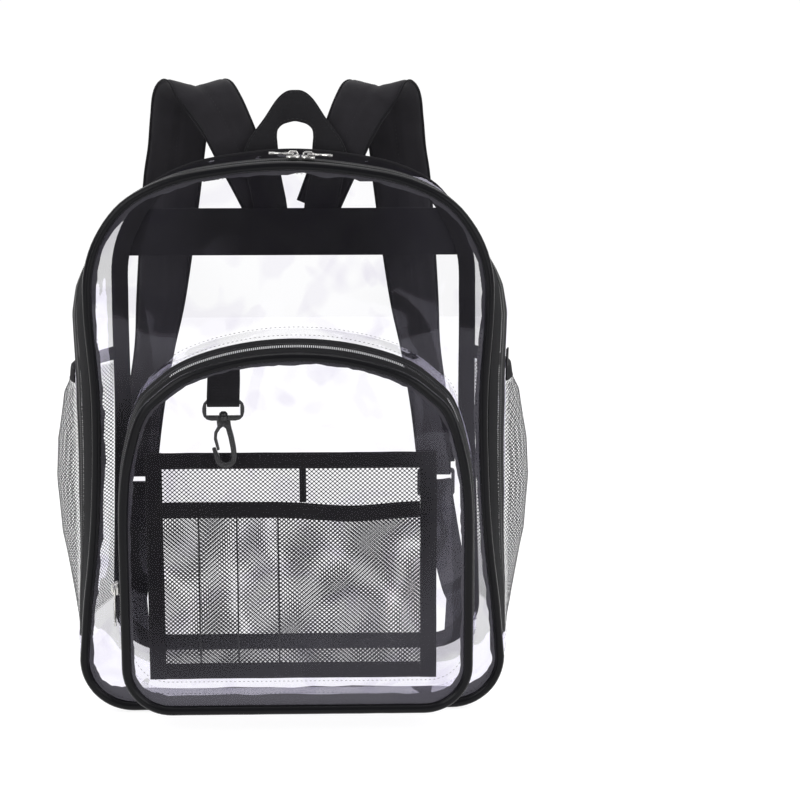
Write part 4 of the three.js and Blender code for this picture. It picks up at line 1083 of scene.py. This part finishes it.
def gathered_edges():
    """Gathered elastic along the top of each side net, and the folded tab above the right one."""
    for side in ("right", "left"):
        low = index_at(front_seam, SIDE_TOP - SIDE_ELASTIC)
        high = index_at(front_seam, SIDE_TOP)
        indices = np.linspace(low, high, 7)
        if side == "left":
            indices = INDEX_TURN - indices[::-1]
        depths = np.linspace(SIDE_FRONT, WALL_STOP, 110)
        index, depth = np.meshgrid(indices, depths, indexing="ij")
        uneven = 1.5 * ripple(side_wall(index, depth), 14, 5)
        puckers = 0.5 * np.sin((depth - SIDE_FRONT) * 2 * math.pi / 4.4 + uneven)
        middle = np.sin(math.pi * np.linspace(0, 1, len(indices)))[:, None]
        outer = side_wall(index, depth, CLOTH_WALL + puckers * (0.4 + 0.6 * middle))
        inner = side_wall(index, depth, 0.2)
        rows, columns = index.shape
        points = np.vstack([outer.reshape(-1, 3), inner.reshape(-1, 3)])
        count = rows * columns
        front, back = grid_faces(rows, columns), grid_faces(rows, columns)[:, ::-1] + count
        seams = [[c, c + count, c + count + 1, c + 1] for c in range(columns - 1)]
        last = range((rows - 1) * columns, rows * columns - 1)
        seams += [[c, c + 1, c + count + 1, c + count] for c in last]
        faces = front.tolist() + back.tolist() + seams
        node = f"side_elastic_{side}"
        make(f"side_{side}_gathers", points, faces, BLACK_CLOTH, [node], crease=60)
    low = index_at(front_seam, SIDE_TOP + 2 * CLEARANCE)
    indices = np.linspace(low, index_at(front_seam, SIDE_TOP + SIDE_TAB), 6)
    depths = np.linspace(SIDE_FRONT, SIDE_FRONT + SIDE_TAB * 0.7, 5)
    points, faces = slab(body_wall, indices, depths, CLEARANCE + CLOTH_WALL, CLOTH_WALL)
    make("side_tab_cloth", points, faces, BLACK_CLOTH, ["side_tab"])


# Straps, handle and webbing


def back_strip(low, high, inset):
    """Outline of a band across the back between two heights, as rows of its left and right edge."""
    indices = np.linspace(index_at(back_seam, low), index_at(back_seam, high), 12)
    edge = along(back_seam, indices)
    return edge[:, 0] - edge[:, 2] * inset, edge[:, 1] - edge[:, 3] * inset


def back_bands():
    """Yoke and base band across the back, with their rows of stitches."""
    base_low = SEAM_LOW + CLEARANCE - 2.5
    rows = (
        # node, low, high, inset
        ("yoke_band", YOKE_BOTTOM, YOKE_TOP, 2),
        ("base_band", base_low, base_low + BASE_BAND - 1.5, 1),
    )
    for node, low, high, inset in rows:
        half, z = back_strip(low, high, inset)
        share = np.linspace(-1, 1, 60)
        x = half[:, None] * share[None, :]
        heights = np.broadcast_to(z[:, None], x.shape)
        face = np.full(x.shape, YOKE_FACE)
        near = np.full(x.shape, BACK + CLEARANCE)
        grid = np.stack([x, face, heights], axis=-1)
        grid[1:-1, 1:-1, 1] += 0.35 * ripple(grid[1:-1, 1:-1], 30, 8)
        inner = np.stack([x, near, heights], axis=-1)
        points, faces = closed_sheet(grid, inner, flip=True)
        make(f"{node}_cloth", points, faces, BLACK_CLOTH, [node])
        lines = [
            [(-half[k] + 4, YOKE_FACE + 0.1, height), (half[k] - 4, YOKE_FACE + 0.1, height)]
            for k, height in ((1, low + 2.5), (-2, high - 2.5))
        ]
        points, faces = stitched(lines, (0, 1, 0))
        make(f"{node}_stitches", points, faces, THREAD)


def handle():
    """Carrying handle of folded webbing that narrows towards its top."""
    foot = YOKE_BOTTOM + HANDLE_FOOT
    rise = HANDLE_TOP - foot
    reach = HANDLE_SPAN / 2

    def edge(rows, side):
        across, up, away = rows
        return (HANDLE_SHIFT + side * across * reach, HANDLE_DEPTH + away * HANDLE_BEND, foot + up * rise)

    left = [(*edge(row[:3], -1), *edge(row[3:], -1)) for row in HANDLE_ROWS]
    right = [(*edge(row[:3], 1), *edge(row[3:], 1)) for row in HANDLE_ROWS[-2::-1]]
    fine = spline(left + right, 6, even=False)
    inner, outer = fine[:, :3], fine[:, 3:]
    forward = np.gradient(inner + outer, axis=0)
    across = outer - inner
    thick = unit(np.cross(forward, across))
    half = np.linalg.norm(across, axis=1) / 2
    centre = (inner + outer) / 2
    wide = unit(across)
    rings = []
    for c, u, v, w in zip(centre, wide, thick, half):
        section = rounded(w, WEBBING_WALL / 2, WEBBING_WALL * 0.45, 2)
        rings.append(c + section[:, :1] * u + section[:, 1:] * v)
    points, faces = loft(rings)
    make("handle_webbing", points, faces, WEBBING_CLOTH, ["handle"])
    rows = [
        centre + side * wide * (half - 2.2)[:, None] + face * thick * (WEBBING_WALL / 2 + 0.05)
        for side in (-1, 1)
        for face in (-1, 1)
    ]
    points, faces = stitched(rows, (0, 1, 0))
    make("handle_stitches", points, faces, THREAD)


def strap_course(side):
    """Stations along a padded strap: place, width and thickness."""
    sign = 1 if side == "right" else -1
    spread = STRAP_SPREAD[side]
    rows = [
        (
            sign * out * spread,
            BACK + away * STRAP_STANDOFF,
            mix(STRAP_END, STRAP_TOP, up),
            STRAP_WIDTH * wide,
            STRAP_PAD * pad,
        )
        for out, away, up, wide, pad in STRAP_ROWS
    ]
    fine = spline(rows, 8, even=False)
    return fine[:, :3], fine[:, 3], fine[:, 4]


def swell(piece, held):
    """Puffs a sewn pad with air between its held seams, then caps how far each point has moved."""
    scene = bpy.context.scene
    group = piece.vertex_groups.new(name="seams")
    group.add(held, 1.0, "REPLACE")
    rest = np.array([v.co for v in piece.data.vertices])
    cloth = piece.modifiers.new("swell", "CLOTH")
    settings = cloth.settings
    settings.quality = 5
    settings.mass = 0.2
    settings.tension_stiffness = 12
    settings.compression_stiffness = 12
    settings.bending_stiffness = 0.6
    settings.use_pressure = True
    settings.uniform_pressure_force = 4
    settings.effector_weights.gravity = 0
    settings.vertex_group_mass = "seams"
    settings.pin_stiffness = 50
    cloth.collision_settings.use_collision = False
    cloth.point_cache.frame_start = 1
    cloth.point_cache.frame_end = SWELL_FRAMES
    for step in range(1, SWELL_FRAMES + 1):
        scene.frame_set(step)
    evaluated = piece.evaluated_get(bpy.context.evaluated_depsgraph_get())
    moved = np.array([v.co for v in evaluated.data.vertices]) - rest
    piece.modifiers.remove(cloth)
    scene.frame_set(1)
    distance = np.linalg.norm(moved, axis=1, keepdims=True)
    cap = SWELL_CAP / 1000
    shorter = cap * np.tanh(distance / cap) / np.maximum(distance, 1e-9)
    piece.data.vertices.foreach_set("co", (rest + moved * shorter).ravel())
    piece.data.update()


def padded_strap(side):
    """Padded shoulder strap: two faces sewn together along its edges and its middle."""
    path, width, thickness = strap_course(side)
    wide, thick = frames(path, (1, 0, 0))
    columns = 15
    share = np.linspace(-1, 1, columns)
    crown = (1 - np.abs(share) ** 3.2) ** 0.5
    groove = 1 - 0.42 * np.exp(-((share / 0.09) ** 2))
    height = 0.14 + 0.86 * crown * groove
    rings = []
    for c, u, v, w, t in zip(path, wide, thick, width, thickness):
        upper = c + np.outer(share * w / 2, u) + np.outer(height * t * PAD_SHARE, v)
        lower = c + np.outer(share[::-1] * w / 2, u) - np.outer(height[::-1] * t * PAD_SHARE, v)
        rings.append(np.vstack([upper, lower]))
    points, faces = loft(rings)
    folds = ripple(points, 16, 31) * 0.35 + ripple(points, 6, 37) * 0.12
    facing = np.tile([1] * columns + [-1] * columns, len(path))
    points = points + np.repeat(thick, 2 * columns, axis=0) * (facing * folds)[:, None]
    node = f"strap_{side}"
    piece = make(f"{node}_pad", points, faces, STRAP_CLOTH, [node], crease=180)
    sewn = [0, columns // 2, columns - 1, columns, columns + columns // 2, 2 * columns - 1]
    held = [ring * 2 * columns + k for ring in range(len(path)) for k in sewn]
    held += list(range(2 * columns)) + list(range((len(path) - 1) * 2 * columns, len(path) * 2 * columns))
    swell(piece, held)
    strap_trim(side, path, wide, thick, width, thickness)


def strap_trim(side, path, wide, thick, width, thickness):
    """Edge binding and the stitched line down the middle of a padded strap."""
    parts = []
    for edge in (-1, 1):
        centre = path + edge * wide * (width / 2)[:, None]
        radius = 1.2
        angles = np.radians(np.arange(0, 360, 60))
        rings = [
            c + radius * (np.outer(np.cos(angles) * 1.1, u) + np.outer(np.sin(angles), v))
            for c, u, v in zip(centre, wide, thick)
        ]
        parts.append(loft(rings))
    points, faces = joined(parts)
    make(f"strap_{side}_edges", points, faces, BLACK_CLOTH, crease=180)
    rows = [path + face * thick * (thickness * PAD_SHARE * 0.62)[:, None] for face in (-1, 1)]
    points, faces = stitched(rows, (0, 1, 0))
    make(f"strap_{side}_stitches", points, faces, THREAD)


def strap_end(side):
    """Loop that holds the adjuster, webbing from there to the anchor, and the anchor's cloth."""
    sign = 1 if side == "right" else -1
    path = strap_course(side)[0]
    end = path[-1]
    adjuster_top = end[2] - STRAP_PAD / 2
    window = (ADJUSTER_HEIGHT - 3 * ADJUSTER_BAR) / 2
    tab_face = YOKE_FACE + CLEARANCE + CLOTH_WALL
    around = ADJUSTER_WALL / 2 + CLEARANCE + WEBBING_WALL / 2
    start = np.array([end[0], end[1] - around, adjuster_top - ADJUSTER_BAR - window])
    finish = np.array([sign * ANCHOR_X, tab_face + CLEARANCE + WEBBING_WALL / 2, ANCHOR_HEIGHT / 2])
    shares = np.array(WEBBING_ROWS)
    line = spline(start + (finish - start) * shares, 8, even=False)
    points, faces = loft(band(line, (1, 0, 0), WEBBING_WIDTH, WEBBING_WALL))
    make(f"webbing_{side}_cloth", points, faces, WEBBING_CLOTH, [f"webbing_{side}"])
    under = adjuster_top - ADJUSTER_BAR - CLEARANCE - WEBBING_WALL / 2
    turn = np.radians(np.linspace(180, 360, 11))
    loop = [(end[0], end[1] - around * 0.2, end[2] + LOOP_SEWN)]
    loop += [(end[0], end[1] + around * math.cos(a), under + around * 0.5 * (1 + math.sin(a))) for a in turn]
    loop += [(end[0], end[1] + around * 0.6, end[2] + LOOP_SEWN)]
    points, faces = loft(band(np.array(loop), (1, 0, 0), WEBBING_WIDTH, WEBBING_WALL))
    make(f"strap_{side}_loop", points, faces, WEBBING_CLOTH)
    reach = ANCHOR_WIDTH / 2
    low = SEAM_LOW + CLEARANCE + BASE_BAND * 0.3
    outline = [
        # x, z
        (ANCHOR_X - reach, low),
        (ANCHOR_X + reach * 0.2, low),
        (ANCHOR_X + reach * 0.8, ANCHOR_HEIGHT * 0.6),
        (ANCHOR_X + reach * 0.86, ANCHOR_HEIGHT),
        (ANCHOR_X - reach * 0.86, ANCHOR_HEIGHT),
    ]
    front = [(sign * x, YOKE_FACE + CLEARANCE, z) for x, z in outline]
    back = [(x, tab_face, z) for x, _, z in front]
    count = len(outline)
    faces = [list(range(count)), list(range(2 * count - 1, count - 1, -1))]
    faces += [[k, k + count, (k + 1) % count + count, (k + 1) % count] for k in range(count)]
    piece = make(f"anchor_{side}_cloth", front + back, faces, BLACK_CLOTH, [f"anchor_{side}"])
    soften(piece.data, 0.0004, 2)
    cross = [
        [(sign * (ANCHOR_X - 10), tab_face + 2, 30), (sign * (ANCHOR_X + 9), tab_face + 2, 42)],
        [(sign * (ANCHOR_X - 10), tab_face + 2, 42), (sign * (ANCHOR_X + 9), tab_face + 2, 30)],
    ]
    points, faces = stitched(cross, (0, 1, 0))
    make(f"anchor_{side}_stitches", points, faces, THREAD)


# Hook, sliders and adjusters


def soften(mesh, width, segments):
    """Rounds the sharp edges of a mesh."""
    work = bmesh.new()
    work.from_mesh(mesh)
    bmesh.ops.remove_doubles(work, verts=work.verts, dist=1e-6)
    bmesh.ops.dissolve_limit(work, angle_limit=math.radians(3), verts=work.verts, edges=work.edges)
    bmesh.ops.recalc_face_normals(work, faces=work.faces)
    sharp = [e for e in work.edges if len(e.link_faces) == 2 and e.calc_face_angle(0) > math.radians(28)]
    bmesh.ops.bevel(
        work, geom=sharp, offset=width, offset_type="OFFSET", segments=segments, profile=0.5,
        affect="EDGES", clamp_overlap=True,
    )
    work.to_mesh(mesh)
    work.free()
    mesh.polygons.foreach_set("use_smooth", [True] * len(mesh.polygons))
    mesh.set_sharp_from_angle(angle=math.radians(40))


def rounded_copy(node, body, material, slot, width):
    """Hard piece with the CAD node's form and rounded edges."""
    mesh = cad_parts[node].data.copy()
    mesh.materials.clear()
    mesh.materials.append(material)
    soften(mesh, width, 2)
    piece = bpy.data.objects.new(f"{node}_part", mesh)
    bpy.context.scene.collection.objects.link(piece)
    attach(piece, body)
    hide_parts(node)


def hard_pieces():
    rows = (
        # node, body, material, slot, rounding in metres
        ("hook_loop", "swivel_loop", BLACK_PLASTIC, "black_plastic", 0.0009),
        ("snap_hook", "hook", BLACK_PLASTIC, "black_plastic", 0.0007),
        ("adjuster_left", "bag", BLACK_PLASTIC, "black_plastic", 0.0007),
        ("adjuster_right", "bag", BLACK_PLASTIC, "black_plastic", 0.0007),
        ("left_slider", "bag", BRIGHT_METAL, "bright_metal", 0.0004),
        ("right_slider", "bag", BRIGHT_METAL, "bright_metal", 0.0004),
        ("pocket_slider", "bag", BRIGHT_METAL, "bright_metal", 0.0004),
        ("left_pull", "top_pull_left", BRIGHT_METAL, "bright_metal", 0.0003),
        ("right_pull", "top_pull_right", BRIGHT_METAL, "bright_metal", 0.0003),
        ("pocket_pull", "front_pocket_pull", BRIGHT_METAL, "bright_metal", 0.0003),
    )
    for row in rows:
        rounded_copy(*row)


def key_tab():
    """Webbing tab that folds round the bar of the hook's loop."""
    panel_face = FRONT - CLEAR_WALL / 2 - CLEARANCE - CLOTH_WALL / 2
    doubled = panel_face - CLOTH_WALL - CLEARANCE
    hook_depth = FRONT - HOOK_REACH - CLEAR_WALL / 2
    bar = TAB_TOP - TAB_LENGTH - LOOP_BAR / 2
    wrap = math.hypot(HOOK_THICKNESS, LOOP_BAR) / 2 + CLEARANCE + CLOTH_WALL / 2
    turns = np.radians(np.linspace(WRAP_START, -180 - WRAP_START, 6))
    course = [
        # y, z
        (panel_face, TAB_TOP),
        (panel_face, mix(TAB_TOP, bar, 0.4)),
        (panel_face, mix(TAB_TOP, bar, 0.46)),
        (mix(panel_face, hook_depth + wrap, 0.45), mix(TAB_TOP, bar, 0.7)),
        *((hook_depth + wrap * math.cos(t), bar + wrap * math.sin(t)) for t in turns),
        (mix(panel_face, hook_depth, 0.62), mix(TAB_TOP, bar, 0.52)),
        (mix(doubled, hook_depth, 0.12), mix(TAB_TOP, bar, 0.27)),
        (doubled, mix(TAB_TOP, bar, 0.04)),
    ]
    line = spline([(TAB_X, y, z) for y, z in course], 5, even=False)
    points, faces = loft(band(line, (1, 0, 0), TAB_WIDTH, CLOTH_WALL))
    make("key_tab_webbing", points, faces, WEBBING_CLOTH, ["key_tab"])


# Stage, light and camera


def stage():
    """White floor and backdrop that count as the room."""
    material, nodes, links = new_material("white floor")
    glow = nodes.new("ShaderNodeEmission")
    glow.inputs["Color"].default_value = (1, 1, 1, 1)
    glow.inputs["Strength"].default_value = 0.84
    diffuse = nodes.new("ShaderNodeBsdfDiffuse")
    diffuse.inputs["Color"].default_value = (0.28, 0.28, 0.28, 1)
    both = nodes.new("ShaderNodeAddShader")
    links.new(glow.outputs["Emission"], both.inputs[0])
    links.new(diffuse.outputs["BSDF"], both.inputs[1])
    shader_to_output(material, nodes, links, both.outputs["Shader"])
    bpy.ops.mesh.primitive_plane_add(size=6, location=(0, 1.0, -0.0005))
    floor = bpy.context.object
    floor.name = "floor"
    floor.data.materials.append(material)
    white, nodes, links = new_material("white backdrop")
    glow = nodes.new("ShaderNodeEmission")
    glow.inputs["Strength"].default_value = 1.02
    shader_to_output(white, nodes, links, glow.outputs["Emission"])
    bpy.ops.mesh.primitive_plane_add(size=6, location=(0, 2.0, 1.5), rotation=(math.pi / 2, 0, 0))
    backdrop = bpy.context.object
    backdrop.name = "backdrop"
    backdrop.data.materials.append(white)


def light():
    """White room, dimmer in front, with soft boxes at its front, sides and top for the sheets' glints."""
    world = bpy.data.worlds.new("white room")
    bpy.context.scene.world = world
    world.use_nodes = True
    nodes = world.node_tree.nodes
    links = world.node_tree.links
    nodes.clear()
    coordinates = nodes.new("ShaderNodeTexCoord")
    split = nodes.new("ShaderNodeSeparateXYZ")
    links.new(coordinates.outputs["Generated"], split.inputs["Vector"])
    ramps = []
    rows = (
        # axis, its value from, to, brightness from, to
        ("Y", -1.0, 0.35, ROOM_FRONT, ROOM_BACK),
        ("Z", -0.1, 1.0, 0.75, 1.25),
    )
    for axis, start, end, low, high in rows:
        ramp = nodes.new("ShaderNodeMapRange")
        ramp.inputs["From Min"].default_value = start
        ramp.inputs["From Max"].default_value = end
        ramp.inputs["To Min"].default_value = low
        ramp.inputs["To Max"].default_value = high
        links.new(split.outputs[axis], ramp.inputs["Value"])
        ramps.append(ramp.outputs["Result"])
    strength = nodes.new("ShaderNodeMath")
    strength.operation = "MULTIPLY"
    links.new(ramps[0], strength.inputs[0])
    links.new(ramps[1], strength.inputs[1])
    background = nodes.new("ShaderNodeBackground")
    background.inputs["Color"].default_value = (0.97, 0.96, 1.0, 1)
    links.new(strength.outputs["Value"], background.inputs["Strength"])
    output = nodes.new("ShaderNodeOutputWorld")
    links.new(background.outputs["Background"], output.inputs["Surface"])
    boxes = (
        # name, place, width, height, watts
        ("left box", (-1.5, -1.3, 1.5), 0.9, 1.3, 11),
        ("right box", (1.7, -1.0, 1.1), 0.5, 1.4, 7),
        ("top box", (0.0, 0.1, 2.1), 1.4, 0.9, 9),
        ("left veil", (-0.95, -1.9, 0.75), 0.45, 1.3, 7),
        ("right veil", (1.05, -1.8, 0.75), 0.55, 1.3, 9),
    )
    target = Vector((0, 0, 0.24))
    for name, place, width, height, watts in boxes:
        data = bpy.data.lights.new(name, "AREA")
        data.shape = "RECTANGLE"
        data.size = width
        data.size_y = height
        data.energy = watts
        lamp = bpy.data.objects.new(name, data)
        lamp.location = place
        lamp.rotation_euler = (target - Vector(place)).to_track_quat("-Z", "Y").to_euler()
        bpy.context.scene.collection.objects.link(lamp)


def camera():
    data = bpy.data.cameras.new("camera")
    data.sensor_width = 36
    data.lens = EYE_LENS
    eye = bpy.data.objects.new("camera", data)
    eye.location = (EYE[0], EYE[1] + OFFSET_Y / 1000, EYE[2])
    eye.rotation_euler = (math.radians(90 - EYE_DOWN), 0, math.radians(EYE_TURN))
    scene = bpy.context.scene
    scene.collection.objects.link(eye)
    scene.camera = eye
    scene.view_settings.view_transform = "Standard"
    scene.cycles.max_bounces = 24
    scene.cycles.transparent_max_bounces = 64
    scene.cycles.glossy_bounces = 6


clear_sheets()
piping("front_piping_round", front_seam, FRONT, "front_piping", 41)
piping("pocket_piping_round", pocket_seam, POCKET_FRONT, "pocket_piping", 43)
seam_edge("front_seam_edge", front_seam, FRONT + 0.9, FLANGE, 45)
seam_edge("pocket_seam_edge", pocket_seam, POCKET_FRONT + 0.9, FLANGE * 0.8, 47)
seam_stitches("pocket_base_stitches", pocket_base_seam, FRONT - 0.9, (-0.5, 5.5))
seam_stitches("front_seam_stitches", front_seam, FRONT - 0.9, (PIPING / 2 + 2,))
back_binding()
zip_tapes("main", body_wall, MAIN_DEPTHS, MAIN_ZIP, MAIN_END)
zip_teeth("main", body_wall, MAIN_DEPTHS, MAIN_ZIP, MAIN_END)
zip_ends("main", body_wall, front_seam, MAIN_DEPTHS, MAIN_ZIP["end"], 51)
zip_tapes("pocket", pocket_wall, POCKET_DEPTHS, POCKET_ZIP, POCKET_END)
zip_teeth("pocket", pocket_wall, POCKET_DEPTHS, POCKET_ZIP, POCKET_END)
zip_ends("pocket", pocket_wall, pocket_seam, POCKET_DEPTHS, POCKET_ZIP["end"], 53)
organiser()
side_nets()
gathered_edges()
back_bands()
handle()
for side in ("left", "right"):
    padded_strap(side)
    strap_end(side)
key_tab()
hard_pieces()
stage()
light()
camera()
